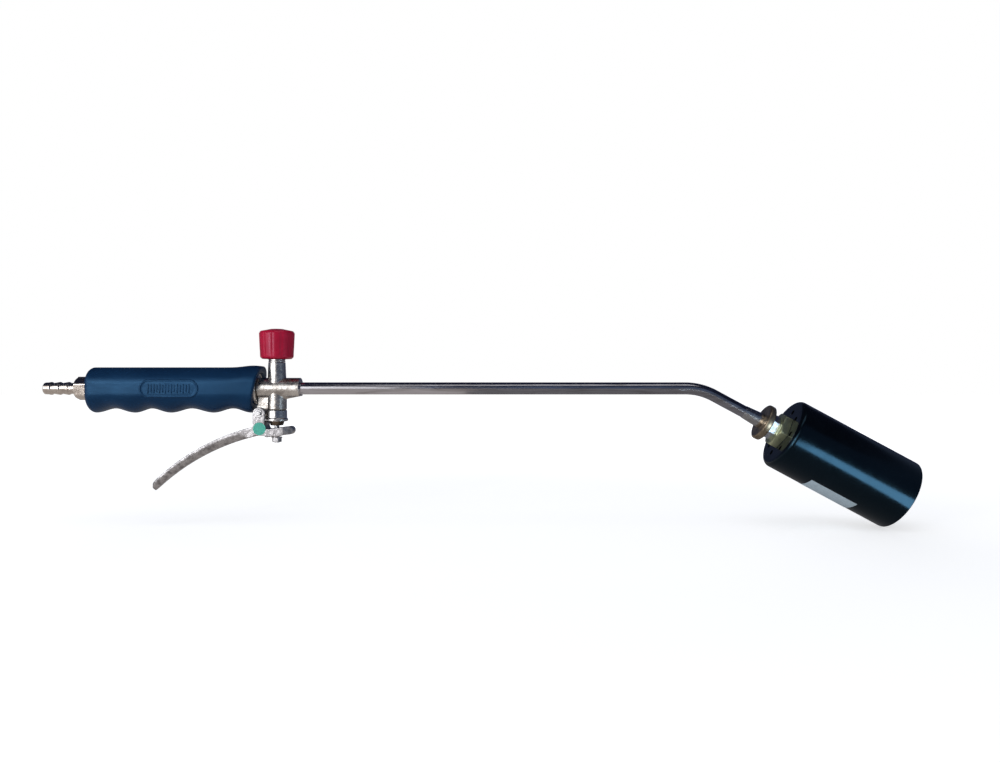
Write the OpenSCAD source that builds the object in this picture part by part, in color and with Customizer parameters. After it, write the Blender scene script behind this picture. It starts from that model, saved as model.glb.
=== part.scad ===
// Propane torch with a regulating valve, a trigger valve, a bent lance and a burner bell.
// Millimetres, +Z up, +X from the hose tail to the burner.
// The origin is on the hose tail's axis, at the middle of its barbed length.

/* [Hose tail] */
// Diameter of the barb crests
barb_d = 10.6; // [8:0.1:12]
// Diameter between the barbs
barb_core_d = 9; // [6:0.1:10]
// Distance from one barb to the next
barb_pitch = 7.2; // [6:0.1:10]
// Number of barbs
barb_count = 3; // [2:1:5]
// Width of the round land on each barb crest
barb_land = 0.8; // [0.4:0.1:1.2]
// Diameter of the gas passage through the hose tail
tail_bore_d = 5; // [3:0.1:5.4]
// Distance across the flats of the hose tail's hexagon
tail_hex_af = 17; // [16:0.5:22]
// Length of the hose tail's hexagon
tail_hex_l = 12.1; // [6:0.1:14]

/* [Handle] */
// Length of the handle along its underside centre
handle_l = 137; // [115:0.5:170]
// Height of the handle from its crests to its top
handle_h = 37.3; // [34:0.1:46]
// Width of the handle
handle_w = 33; // [30:0.5:42]
// Corner radius of the handle's section
handle_corner_r = 14; // [8:0.5:14.5]
// How far the handle's top lies above the gas axis
handle_top_z = 17.3; // [15.5:0.1:20]
// Depth of a finger groove
groove_depth = 3.4; // [1:0.1:5]
// Radius of a finger groove
groove_r = 34; // [15:0.5:40]
// Lean of the handle's front face
handle_front_lean = 12.5; // [0:0.5:15]
// Diameter of the inlet tube
inlet_tube_d = 12; // [10:0.5:13]
// Bore of the inlet tube
inlet_tube_bore_d = 8.4; // [6:0.1:9]
// Diameter of the disc at the handle's front
flange_d = 26; // [20:0.5:28]
// Thickness of the disc at the handle's front
flange_t = 2.6; // [1:0.1:4]

/* [Valve body] */
// Diameter of the inlet and outlet bosses
boss_d = 17.4; // [16.5:0.1:22]
// Distance from the handle disc to the valve's vertical axis
boss_inlet_l = 14.6; // [13:0.1:20]
// Distance from the valve's vertical axis to the outlet face
boss_outlet_l = 19.7; // [17:0.1:28]
// Diameter of the lower barrel
lower_barrel_d = 15.9; // [15:0.1:17]
// How far the lower barrel reaches below the gas axis
lower_barrel_z = 17.2; // [15.5:0.1:20]
// Diameter of the upper barrel at its foot
upper_foot_d = 15.6; // [14.5:0.1:17]
// Diameter of the upper barrel at its top
upper_top_d = 13.7; // [13:0.1:15]
// How far the upper barrel reaches above the gas axis
upper_barrel_z = 21.5; // [19.5:0.1:28]

/* [Knob] */
// Diameter of the knob at its top
knob_top_d = 28.6; // [25:0.1:34]
// Diameter of the knob at its foot
knob_foot_d = 26.6; // [24:0.1:34]
// Height of the knob with its dome
knob_h = 24.6; // [20:0.1:32]
// Rise of the knob's dome
knob_dome_h = 1.6; // [0.5:0.1:3]

/* [Trigger valve] */
// Diameter of the valve stem
stem_d = 4; // [3:0.1:4.4]
// Diameter of the bonnet
bonnet_d = 16.4; // [15.5:0.1:16.6]
// Diameter of the bonnet's rim
bonnet_rim_d = 18; // [16.6:0.1:18.4]
// Height of the bonnet above its rim
bonnet_h = 6.6; // [5:0.1:8]
// Height of the bonnet's rim
bonnet_rim_h = 2.4; // [1:0.1:3]
// Diameter of the spring's coils, from wire centre to wire centre
spring_coil_d = 6; // [5.6:0.1:6.4]
// Diameter of the spring's wire
spring_wire_d = 0.7; // [0.5:0.1:0.9]

/* [Lever] */
// Distance from the valve's axis back to the lever's pivot
pivot_back = 12.9; // [12.7:0.1:14]
// Depth of the lever's pivot below the gas axis
pivot_drop = 20.4; // [20:0.1:22]
// Radius of the lever's cheeks about the pivot
cheek_r = 5; // [4:0.1:5.1]
// Width of the lever across its cheeks
lever_w = 15.6; // [14.8:0.1:20]
// Width of the lever near its tip
lever_tip_w = 12; // [8:0.1:14.5]
// Thickness of one cheek
cheek_t = 2.6; // [1.5:0.1:3]
// Diameter of the pivot pin
pin_d = 4; // [3:0.1:5]
// Radius of the lever arm's underside
lever_arc_r = 177; // [150:1:210]
// Distance that the lever reaches behind the valve's axis
lever_reach = 102; // [80:1:125]
// Travel of the lever in degrees
lever_travel = 13; // [5:1:13]

/* [Lance] */
// Diameter of the lance tube
lance_d = 10; // [8:0.1:11]
// Bore of the lance tube
lance_bore_d = 8; // [6:0.1:9]
// Distance from the valve's axis to the corner of the bend
bend_x = 349.4; // [150:1:700]
// Angle of the bend
bend_angle = 28.3; // [15:0.1:45]
// Radius of the bend
bend_r = 50; // [35:1:60]
// Distance from the corner of the bend to the neck collar
neck_start = 56.5; // [45:0.5:80]

/* [Neck] */
// Diameter of the round collar
collar_d = 30.5; // [22:0.1:34]
// Thickness of the round collar
collar_t = 5.8; // [4:0.1:10]
// Distance across the flats of the mixer body
mixer_af = 18; // [17:0.1:24]
// Visible length of the mixer body
mixer_l = 7.2; // [5:0.1:12]
// Diameter of the mixer body's threaded shank
shank_d = 16; // [15:0.1:16.8]
// Distance across the flats of the lock nut
nut_af = 27; // [24:0.1:30]
// Thickness of the lock nut
nut_t = 7; // [4:0.1:12]

/* [Burner] */
// Diameter of the bell
bell_d = 60; // [50:0.5:75]
// Length of the bell
bell_l = 107.8; // [80:0.5:150]
// Wall of the bell
bell_wall = 1.2; // [0.8:0.1:2]
// Radius of the bell's shoulder
bell_shoulder_r = 8; // [4:0.5:10]
// Number of air holes in the bell's back wall
air_holes = 8; // [4:1:12]
// Diameter of an air hole
air_hole_d = 4.4; // [3:0.1:4.8]
// Diameter of the burner tube
burner_tube_d = 20; // [19:0.5:24]
// Length of the burner tube beyond its base
burner_tube_l = 32; // [20:0.5:45]
// Diameter of the flame holder
flame_holder_d = 36; // [30:0.5:44]

/* [Hidden] */
$fn = 96;
bore_fn = 64;
tiny = 0.01;

// Clearances
run_gap = 0.05;
turn_gap = 0.1;
seat_gap = 0.3;
swing_gap = 0.3;
thread_gap = 0.05;
slip_gap = 0.2;

// Hose tail
barb_span = (barb_count - 1) * barb_pitch;
barb_cone_l = barb_pitch * 0.62;
barb_back_l = 0.7;
nose_l = 5.6;
nose_d = barb_d - 0.9;
nose_round = 1.6;
tail_root_l = 7.1;
tail_tip_x = -barb_span / 2 - nose_l;
tail_hex_x = barb_span / 2 + tail_root_l;
handle_x = tail_hex_x + tail_hex_l;
tail_thread_d = inlet_tube_bore_d - 2 * thread_gap;
tail_thread_l = 9;
tail_hex_turn = 15;
hex_chamfer = 1.2;
seal_t = 1;

// Handle
handle_mid_z = handle_top_z - handle_h / 2;
handle_low_z = handle_top_z - handle_h;
groove_places = [0.144, 0.361, 0.601, 0.861];
handle_end_round = 5;
badge_l = 48;
badge_h = 15;
badge_t = 0.5;
badge_x = 69.4;

// Valve body
flange_x = handle_x + handle_l + 0.5;
valve_x = flange_x + boss_inlet_l;
inlet_socket_l = 5;
outlet_socket_l = 8.5;
outlet_taper_l = 11.5;
outlet_taper_drop = 2.4;
lower_chamber_r = 5.2;
seat_z = -5;
seat_bore_r = 2.2;
needle_floor_z = 3;
needle_seat_z = 5;
needle_seat_r = 1.4;
spindle_chamber_r = 3.6;
packing_floor_z = 16;
packing_bore_r = 4.9;
passage_r = 1.7;
gland_seam = 0.2;
gland_head_h = 3;
gland_spigot_l = 2.6;

// Regulator
spindle_neck_r = 2.5;
needle_r = needle_seat_r - turn_gap;
spindle_shank_r = 2;
thread_low_z = 9;
thread_high_z = 14;
knob_wall = 2.2;
knob_foot_z = 24.3;
knob_foot_round = 1.6;
knob_top_round = 2;
knob_hub_r = 5;
knob_hub_drop = 3;
knob_web_t = 3.4;
knob_recess_r = 4.2;
knob_recess_h = 2.4;
screw_head_r = 3.4;
screw_head_h = 1.9;
screw_r = 1.5;
screw_l = 9;
screw_slot_w = 1;
knob_top_z = knob_foot_z + knob_h;
knob_recess_z = knob_top_z - knob_recess_h;
spindle_top_z = knob_recess_z - knob_web_t;

// Trigger valve
gasket_t = 0.8;
bonnet_top_z = -lower_barrel_z - gasket_t;
bonnet_rim_z = bonnet_top_z - bonnet_h;
bonnet_low_z = bonnet_rim_z - bonnet_rim_h;
bonnet_spigot_l = 4;
bonnet_spigot_z = bonnet_top_z + bonnet_spigot_l;
spring_room_r = 3.9;
spring_floor_z = bonnet_top_z - 2;
bush_pocket_r = 3.7;
bush_pocket_l = 4;
ring_wire_r = (bush_pocket_r - stem_d / 2 - turn_gap) / 2;
bush_foot_h = 3.4;
bush_top_r = 6;
bush_low_r = 5;
seal_face_t = 1.7;
seal_face_r = 3.6;
poppet_r = 4.2;
poppet_t = 2.6;
poppet_top_z = seat_z - seat_gap - seal_face_t;
poppet_low_z = poppet_top_z - poppet_t;
stem_socket_l = 1.8;
spring_turns = 5.5;
stem_r = stem_d / 2;

// Lever, in the plane of its motion, from the valve's axis
pivot_x = -pivot_back;
pivot_z = -pivot_drop;
lug_r = 4.4;
lug_half_w = lever_w / 2 - cheek_t - swing_gap;
fork_half_w = lever_w / 2 - cheek_t;
fork_floor = 7.2;
hub_low_z = pivot_z - 19.2;
hub_arc_r = 12;
hub_arc_half_l = 6;
bar_r = 3.4;
bar_flat = 0.1;
bar_back = [pivot_x + 6.9, hub_low_z + bar_r - 0.3];
nose = [pivot_x + 24.1, hub_low_z + bar_r + 1.8];
cheek_foot_z = hub_low_z + 1;
fillet_r = 4.1;
arm_joint = [pivot_x - 9.3, hub_low_z - 1.1];
arm_lean = 14.6;
arc_centre = arm_joint + lever_arc_r * [sin(arm_lean), -cos(arm_lean)];
arm_shift = [2.6, 6.4];
arm_extra = 2.5;
arm_end_x = -lever_reach;
slot_half_w = stem_r + 0.4;
slot_ahead = (pivot_drop + 2) * sin(lever_travel);
washer_r = 4.5;
washer_t = 0.8;
washer_z = hub_low_z - seat_gap;
stem_nut_af = 7;
stem_nut_t = 3.5;
stem_end_z = washer_z - washer_t - stem_nut_t - 0.4;
pin_r = pin_d / 2;
pin_head_r = pin_r + 1.1;
pin_head_t = 1.1;
clip_r = pin_r + 1.2;
clip_t = 0.8;
pin_end = lever_w / 2 + swing_gap + clip_t + 0.3;
sticker_r = 5.2;
sticker_t = 0.15;
sticker_at = [pivot_x + 0.6, pivot_z - 12.5];

// Lance
lance_r = lance_d / 2;
bend_tangent = bend_r * tan(bend_angle / 2);
bend_lap = 1;
bend_step = 0.1;
lance_start_x = boss_outlet_l - outlet_socket_l + slip_gap;
ferrule_l = 16;
ferrule_bore_r = lance_r + bend_step + run_gap;
ferrule_start_r = lance_r + 0.45;
ferrule_end_r = lance_r + 1.2;

// Neck and burner, along the burner's axis from the corner of the bend
collar_end = neck_start + collar_t;
collar_socket_l = 3.5;
spigot_r = 6;
spigot_l = 5.7;
collar_round = 1.5;
jet_r = 3;
jet_head_r = 3.8;
jet_head_t = 2.5;
jet_hole_r = 0.4;
jet_passage_r = 2;
jet_seat_l = 1.7;
nut_start = collar_end + mixer_l;
bell_back = nut_start + nut_t;
backing_start = bell_back + bell_wall;
backing_t = 1.2;
backing_r = 14;
base_start = backing_start + backing_t;
base_l = 7;
base_r = 13;
shank_end = base_start + base_l - 0.5;
throat_r = 5.4;
mixer_turn = 4;
nut_turn = 37;
bell_mouth = bell_back + bell_l;
bell_r = bell_d / 2;
air_ring_r = nut_af / sqrt(3) + air_hole_d / 2 + 0.9;
burner_bore_r = 7;
burner_end = base_start + base_l + burner_tube_l;
holder_t = 2;
holder_start = burner_end - 5;
holder_holes = 10;
holder_hole_d = 4;
label_start = 33;
label_l = 41.4;
label_w = 25;
label_low = 54;
label_t = 0.15;

// ---- Helpers ----

// A round bar along X, from x0 to x1
module x_bar(r, x0, x1) {
    translate([x0, 0, 0]) rotate([0, 90, 0]) cylinder(r = r, h = x1 - x0, $fn = bore_fn);
}

// A round bar along Z, from z0 to z1
module z_bar(r, z0, z1) {
    translate([0, 0, z0]) cylinder(r = r, h = z1 - z0, $fn = bore_fn);
}

// A washer along Z, from z0 to z1
module z_ring(r, bore, z0, z1) {
    difference() {
        z_bar(r, z0, z1);
        z_bar(bore, z0 - 1, z1 + 1);
    }
}

// A washer along X, from x0 to x1
module x_ring(r, bore, x0, x1) {
    difference() {
        x_bar(r, x0, x1);
        x_bar(bore, x0 - 1, x1 + 1);
    }
}

// A straight drilling between two points in the plane of symmetry
module drilling(r, from, to) {
    run = to - from;
    translate([from[0], 0, from[1]])
        rotate([0, atan2(run[0], run[1]), 0])
            cylinder(r = r, h = norm(run), $fn = bore_fn);
}

// A solid turned about the X axis; points are [radius, distance along X]
module turned_x(points) {
    rotate([0, 90, 0]) rotate_extrude() polygon(points);
}

// A hexagonal bar along X with its corners turned down at the chosen ends
module hex_x(af, x0, x1, chamfer_start, chamfer_end) {
    corner_r = af / sqrt(3);
    intersection() {
        translate([x0, 0, 0]) rotate([0, 90, 0]) cylinder(r = corner_r, h = x1 - x0, $fn = 6);
        turned_x([
            [0, x0], [corner_r - chamfer_start, x0], [corner_r + tiny, x0 + chamfer_start / 2],
            [corner_r + tiny, x1 - chamfer_end / 2], [corner_r - chamfer_end, x1], [0, x1]
        ]);
    }
}

module at_valve() {
    translate([valve_x, 0, 0]) children();
}

// X runs along the burner's axis, from the corner of the bend
module at_burner() {
    translate([valve_x + bend_x, 0, 0]) rotate([0, bend_angle, 0]) children();
}

// A flat outline in the plane of the lever's motion, given its thickness across Y
module side_plate(half_w) {
    translate([0, half_w, 0]) rotate([90, 0, 0]) linear_extrude(height = 2 * half_w) children();
}

// ---- Hose tail and handle ----

// The barbs' outline; the first barb has no cone, because the nose leads up to it
function barb_points(x, first) = concat(
    first ? [] : [[barb_core_d / 2, x - barb_land / 2 - barb_cone_l]],
    [
        [barb_d / 2, x - barb_land / 2], [barb_d / 2, x + barb_land / 2],
        [barb_core_d / 2, x + barb_land / 2 + barb_back_l]
    ]
);

module hose_tail() {
    core_r = barb_core_d / 2;
    color([0.78, 0.74, 0.7]) difference() {
        union() {
            turned_x(concat(
                [[0, tail_tip_x], [nose_d / 2 - nose_round, tail_tip_x],
                 [nose_d / 2, tail_tip_x + nose_round]],
                [for (i = [0 : barb_count - 1])
                    each barb_points(i * barb_pitch - barb_span / 2, i == 0)],
                [[core_r, tail_hex_x], [core_r, handle_x], [0, handle_x]]
            ));
            rotate([tail_hex_turn, 0, 0])
                hex_x(tail_hex_af, tail_hex_x, handle_x, hex_chamfer, 0);
            x_bar(tail_thread_d / 2, handle_x - 1, handle_x + tail_thread_l);
        }
        x_bar(tail_bore_d / 2, tail_tip_x - 1, handle_x + tail_thread_l + 1);
    }
}

module tail_seal() {
    color([0.55, 0.2, 0.12])
        x_ring(inlet_tube_d / 2, inlet_tube_bore_d / 2, handle_x, handle_x + seal_t);
}

module inlet_tube() {
    color([0.7, 0.68, 0.62]) x_ring(
        inlet_tube_d / 2, inlet_tube_bore_d / 2,
        handle_x + seal_t, flange_x + inlet_socket_l
    );
}

// Side outline of the handle, with its finger grooves and leaning front face
module handle_outline() {
    low_z = handle_low_z - tiny;
    end_z = handle_low_z + handle_end_round;
    front_rise = handle_h * tan(handle_front_lean);
    front_low = handle_l - front_rise / 2;
    difference() {
        union() {
            translate([0, end_z]) square([handle_l / 2, handle_h - 2 * handle_end_round]);
            translate([handle_end_round, low_z]) square([handle_l / 2, handle_h + tiny]);
            for (z = [end_z - tiny, handle_top_z - handle_end_round])
                translate([handle_end_round, z]) circle(r = handle_end_round);
            polygon([
                [handle_l / 4, low_z], [front_low, low_z],
                [front_low + front_rise, handle_top_z], [handle_l / 4, handle_top_z]
            ]);
        }
        for (place = groove_places)
            translate([place * handle_l, handle_low_z + groove_depth - groove_r])
                circle(r = groove_r);
    }
}

// Cross-section of the handle: round below and with round corners on top
module handle_section() {
    corner_x = handle_corner_r - handle_h / 2;
    corner_y = handle_w / 2 - handle_corner_r;
    round_x = handle_h / 2 - handle_w / 2;
    translate([round_x, 0]) circle(r = handle_w / 2);
    translate([corner_x, -handle_w / 2]) square([round_x - corner_x, handle_w]);
    translate([-handle_h / 2, -corner_y]) square([handle_corner_r, 2 * corner_y]);
    for (side = [-1, 1]) translate([corner_x, side * corner_y]) circle(r = handle_corner_r);
}

// Stadium outline of the blank badge
module badge_outline() {
    straight = badge_l - badge_h;
    square([straight, badge_h], center = true);
    for (end = [-1, 1])
        translate([end * straight / 2, 0]) circle(d = badge_h);
}

module handle_grip() {
    color([0.03, 0.12, 0.24]) difference() {
        union() {
            intersection() {
                translate([handle_x, 0, 0]) side_plate(handle_w / 2 + 1) handle_outline();
                translate([handle_x, 0, handle_mid_z]) rotate([0, 90, 0])
                    linear_extrude(height = handle_l + handle_h) handle_section();
            }
            for (side = [-1, 1])
                translate([handle_x + badge_x, side * (handle_w / 2 - 1), 0])
                    side_plate(1 + badge_t) badge_outline();
        }
        x_bar(inlet_tube_d / 2 + slip_gap, handle_x - 1, valve_x);
        x_bar(flange_d / 2 + slip_gap, flange_x - flange_t, valve_x + handle_h);
    }
}

module handle_flange() {
    color([0.8, 0.8, 0.78])
        x_ring(flange_d / 2, inlet_tube_d / 2 + run_gap, flange_x - flange_t, flange_x);
}

// ---- Valve body ----

// Lug that carries the lever's pivot
module pivot_lug() {
    lug_back_x = -boss_inlet_l + swing_gap;
    side_plate(lug_half_w) translate([pivot_x, pivot_z]) circle(r = lug_r);
    side_plate(lug_half_w)
        polygon([
            [lug_back_x, 0], [lug_back_x, -flange_d / 2 - swing_gap],
            [pivot_x - lug_r, pivot_z], [pivot_x + lug_r, pivot_z],
            [-bonnet_d / 2 - swing_gap, -lower_barrel_z],
            [-lower_chamber_r - 0.8, -lower_barrel_z + 0.6], [-lower_chamber_r - 0.8, 0]
        ]);
}

// Wedge that is cut from below the outlet boss, so that it narrows to the tube
module outlet_wedge() {
    side_plate(boss_d) polygon([
        [boss_outlet_l - outlet_taper_l, -boss_d / 2],
        [boss_outlet_l + 1, -boss_d / 2 + outlet_taper_drop * (1 + 1 / outlet_taper_l)],
        [boss_outlet_l + 1, -boss_d], [boss_outlet_l - outlet_taper_l, -boss_d]
    ]);
}

module valve_body() {
    boss_r = boss_d / 2;
    chamber_top_z = packing_floor_z;
    color([0.8, 0.78, 0.76]) at_valve() difference() {
        union() {
            difference() {
                x_bar(boss_r, -boss_inlet_l, boss_outlet_l);
                outlet_wedge();
            }
            z_bar(lower_barrel_d / 2, -lower_barrel_z, 0);
            cylinder(d1 = upper_foot_d, d2 = upper_top_d, h = upper_barrel_z);
            pivot_lug();
        }
        x_bar(inlet_tube_d / 2, -boss_inlet_l - 1, -boss_inlet_l + inlet_socket_l);
        x_bar(lance_r, boss_outlet_l - outlet_socket_l, boss_outlet_l + 1);
        z_bar(lower_chamber_r, -lower_barrel_z - 1, seat_z);
        z_bar(seat_bore_r, seat_z - 1, needle_floor_z);
        z_bar(needle_seat_r, needle_floor_z - 1, needle_seat_z);
        z_bar(spindle_chamber_r, needle_seat_z, chamber_top_z);
        z_bar(packing_bore_r + thread_gap, chamber_top_z, upper_barrel_z + 1);
        drilling(
            passage_r, [-boss_inlet_l + inlet_socket_l - 1, -1],
            [-lower_chamber_r + 2, seat_z - 3.5]
        );
        drilling(
            passage_r, [spindle_chamber_r - 1.5, needle_seat_z + 1.9],
            [boss_outlet_l - outlet_socket_l + 1, 1]
        );
        translate([pivot_x, 0, pivot_z]) rotate([90, 0, 0])
            cylinder(r = pin_r, h = lever_w, center = true, $fn = bore_fn);
    }
}

// ---- Regulating valve ----

module gland_nut() {
    nut_z = upper_barrel_z + gland_seam;
    color([0.82, 0.82, 0.8]) at_valve() difference() {
        union() {
            z_bar(upper_top_d / 2, nut_z, nut_z + gland_head_h - 0.6);
            translate([0, 0, nut_z + gland_head_h - 0.6])
                cylinder(r1 = upper_top_d / 2, r2 = upper_top_d / 2 - 0.6, h = 0.6);
            z_bar(packing_bore_r, upper_barrel_z - gland_spigot_l, nut_z + tiny);
        }
        z_bar(spindle_neck_r + turn_gap, 0, knob_foot_z + knob_h);
    }
}

module spindle_packing() {
    color([0.12, 0.12, 0.12]) at_valve() z_ring(
        packing_bore_r, spindle_neck_r + turn_gap,
        packing_floor_z + 1, upper_barrel_z - gland_spigot_l
    );
}

module packing_washer() {
    color([0.75, 0.6, 0.3]) at_valve() z_ring(
        packing_bore_r, spindle_neck_r + turn_gap, packing_floor_z, packing_floor_z + 1
    );
}

module regulator_spindle() {
    color([0.78, 0.62, 0.32]) at_valve() difference() {
        rotate_extrude() polygon([
            [0, needle_floor_z], [0.4, needle_floor_z],
            [needle_r, needle_floor_z + 1.2], [needle_r, needle_seat_z + seat_gap],
            [spindle_shank_r, needle_seat_z + seat_gap + 0.5], [spindle_shank_r, thread_low_z],
            [spindle_chamber_r - turn_gap, thread_low_z],
            [spindle_chamber_r - turn_gap, thread_high_z],
            [spindle_neck_r, thread_high_z], [spindle_neck_r, spindle_top_z],
            [0, spindle_top_z]
        ]);
        z_bar(screw_r, spindle_top_z - screw_l + knob_web_t, spindle_top_z + 1);
    }
}

module control_knob() {
    foot_r = knob_foot_d / 2;
    top_r = knob_top_d / 2;
    side_top_z = knob_top_z - knob_dome_h - knob_top_round;
    dome_flat_r = knob_recess_r + 0.6;
    color([0.7, 0.04, 0.08]) at_valve() difference() {
        rotate_extrude() polygon([
            [0, knob_foot_z], [foot_r - knob_foot_round, knob_foot_z],
            [foot_r - knob_foot_round / 3, knob_foot_z + knob_foot_round / 3],
            [foot_r, knob_foot_z + knob_foot_round],
            [top_r, side_top_z], [top_r - knob_top_round * 0.3, side_top_z + knob_top_round * 0.7],
            [top_r - knob_top_round, side_top_z + knob_top_round * 1.1],
            [dome_flat_r, knob_top_z], [0, knob_top_z]
        ]);
        difference() {
            translate([0, 0, knob_foot_z - 1]) cylinder(
                r1 = foot_r - knob_wall, r2 = foot_r - knob_wall,
                h = spindle_top_z - knob_foot_z + 1
            );
            z_bar(knob_hub_r, knob_foot_z + knob_hub_drop, knob_top_z);
        }
        z_bar(spindle_neck_r, knob_foot_z - 1, spindle_top_z);
        z_bar(screw_r, spindle_top_z - 1, knob_top_z);
        z_bar(knob_recess_r, knob_recess_z, knob_top_z + 1);
    }
}

module knob_screw() {
    slot_l = 2 * screw_head_r + 1;
    color([0.75, 0.75, 0.75]) at_valve() difference() {
        union() {
            z_bar(screw_head_r, knob_recess_z, knob_recess_z + screw_head_h);
            z_bar(screw_r, knob_recess_z - screw_l, knob_recess_z + tiny);
        }
        translate([-slot_l / 2, -screw_slot_w / 2, knob_recess_z + screw_head_h / 2])
            cube([slot_l, screw_slot_w, screw_head_h]);
    }
}

// ---- Trigger valve ----

module poppet() {
    color([0.78, 0.62, 0.32]) at_valve() difference() {
        z_bar(poppet_r, poppet_low_z, poppet_top_z);
        z_bar(stem_r, poppet_low_z - 1, poppet_low_z + stem_socket_l);
    }
}

module poppet_seal() {
    color([0.1, 0.1, 0.1]) at_valve() z_bar(seal_face_r, poppet_top_z, poppet_top_z + seal_face_t);
}

module valve_stem() {
    color([0.72, 0.72, 0.72]) at_valve() z_bar(stem_r, stem_end_z, poppet_low_z + stem_socket_l);
}

// Ring of points about the spring's wire at one place along the coil
function spring_ring(turn_angle, height, wire_r, coil_r, sides) = [
    for (side = [0 : sides - 1])
        let (across = coil_r + wire_r * cos(360 * side / sides))
            [across * cos(turn_angle), across * sin(turn_angle),
             height + wire_r * sin(360 * side / sides)]
];

module return_spring() {
    sides = 8;
    steps_per_turn = 16;
    wire_r = spring_wire_d / 2;
    low_z = spring_floor_z + wire_r;
    high_z = poppet_low_z - wire_r;
    steps = spring_turns * steps_per_turn;
    points = [
        for (step = [0 : steps])
            each spring_ring(
                360 * step / steps_per_turn, low_z + (high_z - low_z) * step / steps,
                wire_r, spring_coil_d / 2, sides
            )
    ];
    walls = [
        for (step = [0 : steps - 1], side = [0 : sides - 1])
            let (next = (side + 1) % sides, here = step * sides, ahead = here + sides)
                [here + side, ahead + side, ahead + next, here + next]
    ];
    start_cap = [for (side = [0 : sides - 1]) side];
    end_cap = [for (side = [sides - 1 : -1 : 0]) steps * sides + side];
    color([0.7, 0.7, 0.72]) at_valve() polyhedron(points, concat(walls, [start_cap, end_cap]));
}

module bonnet() {
    color([0.76, 0.75, 0.72]) at_valve() difference() {
        union() {
            z_bar(bonnet_d / 2, bonnet_rim_z, bonnet_top_z);
            rotate_extrude() polygon([
                [0, bonnet_low_z], [bonnet_rim_d / 2 - 0.6, bonnet_low_z],
                [bonnet_rim_d / 2, bonnet_low_z + 0.6], [bonnet_rim_d / 2, bonnet_rim_z - 0.6],
                [bonnet_rim_d / 2 - 0.6, bonnet_rim_z], [0, bonnet_rim_z]
            ]);
            z_bar(lower_chamber_r - thread_gap, bonnet_top_z - 1, bonnet_spigot_z);
        }
        z_bar(spring_room_r, spring_floor_z, bonnet_spigot_z + 1);
        z_bar(stem_r + turn_gap, bonnet_low_z - 1, bonnet_spigot_z);
        z_bar(bush_pocket_r, bonnet_low_z - 1, bonnet_low_z + bush_pocket_l);
    }
}

module bonnet_gasket() {
    color([0.5, 0.25, 0.15]) at_valve()
        z_ring(lower_barrel_d / 2 - 0.5, lower_chamber_r, bonnet_top_z, -lower_barrel_z);
}

module stem_o_ring() {
    ring_z = bonnet_low_z + bush_pocket_l - ring_wire_r;
    color([0.08, 0.08, 0.08]) at_valve() translate([0, 0, ring_z])
        rotate_extrude() translate([stem_r + turn_gap + ring_wire_r, 0])
            circle(r = ring_wire_r - run_gap, $fn = 32);
}

module gland_bush() {
    color([0.45, 0.4, 0.3]) at_valve() difference() {
        union() {
            translate([0, 0, bonnet_low_z - bush_foot_h])
                cylinder(r1 = bush_low_r, r2 = bush_top_r, h = bush_foot_h);
            z_bar(
                bush_pocket_r - thread_gap, bonnet_low_z - tiny,
                bonnet_low_z + bush_pocket_l - 2 * ring_wire_r
            );
        }
        z_bar(stem_r + turn_gap, stem_end_z, 0);
    }
}

// ---- Lever ----

// Curved arm between two arcs, thinner towards the tip
module arm_outline() {
    arm_back_x = arm_end_x - 10;
    intersection() {
        difference() {
            translate(arc_centre + arm_shift) circle(r = lever_arc_r + arm_extra, $fn = 360);
            translate(arc_centre) circle(r = lever_arc_r, $fn = 360);
        }
        translate([arm_back_x, pivot_z - lever_reach])
            square([pivot_x - 4 - arm_back_x, lever_reach]);
    }
}

// Round-topped cheeks in the plane of the lever's motion
module cheek_plate() {
    half_w = lever_w / 2;
    side_plate(half_w) translate([pivot_x, pivot_z]) circle(r = cheek_r);
    side_plate(half_w) translate([pivot_x - cheek_r, cheek_foot_z])
        square([2 * cheek_r, pivot_z - cheek_foot_z]);
}

// Hub bar from the cheeks to the round nose, with a rolling face over the stem's washer
module hub_plate() {
    half_w = lever_w / 2;
    bar_run = nose - bar_back;
    bar_half_t = (bar_r - bar_flat) * [-bar_run[1], bar_run[0]] / norm(bar_run);
    side_plate(half_w) translate(bar_back) circle(r = bar_r);
    side_plate(half_w) translate(nose) circle(r = bar_r);
    side_plate(half_w) polygon([
        bar_back + bar_half_t, nose + bar_half_t, nose - bar_half_t, bar_back - bar_half_t
    ]);
    side_plate(half_w) intersection() {
        translate([0, hub_low_z + hub_arc_r]) circle(r = hub_arc_r, $fn = 180);
        translate([-hub_arc_half_l, hub_low_z - 1]) square([2 * hub_arc_half_l, bar_r + 1]);
    }
}

// Concave fillet between the cheeks and the hub bar
module fillet_plate() {
    corner = [pivot_x + cheek_r - 1, bar_back[1] + bar_r - 1.2];
    side_plate(lever_w / 2) difference() {
        translate(corner) square([fillet_r + 1, fillet_r]);
        translate(corner + [fillet_r + 1, fillet_r]) circle(r = fillet_r);
    }
}

// Outline of the lever seen from above, with a round tip and nose
module plan_outline() {
    tip_r = lever_tip_w / 2;
    tip_x = arm_end_x + tip_r;
    root_x = pivot_x - cheek_r;
    nose_r = lever_w / 2;
    nose_x = nose[0] + bar_r - 0.5 * nose_r;
    translate([tip_x, 0]) circle(r = tip_r);
    polygon([
        [tip_x, -tip_r], [root_x, -nose_r], [nose_x - nose_r / 2, -nose_r],
        [nose[0] + bar_r, -nose_r * 0.55], [nose[0] + bar_r, nose_r * 0.55],
        [nose_x - nose_r / 2, nose_r], [root_x, nose_r], [tip_x, tip_r]
    ]);
}

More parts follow.
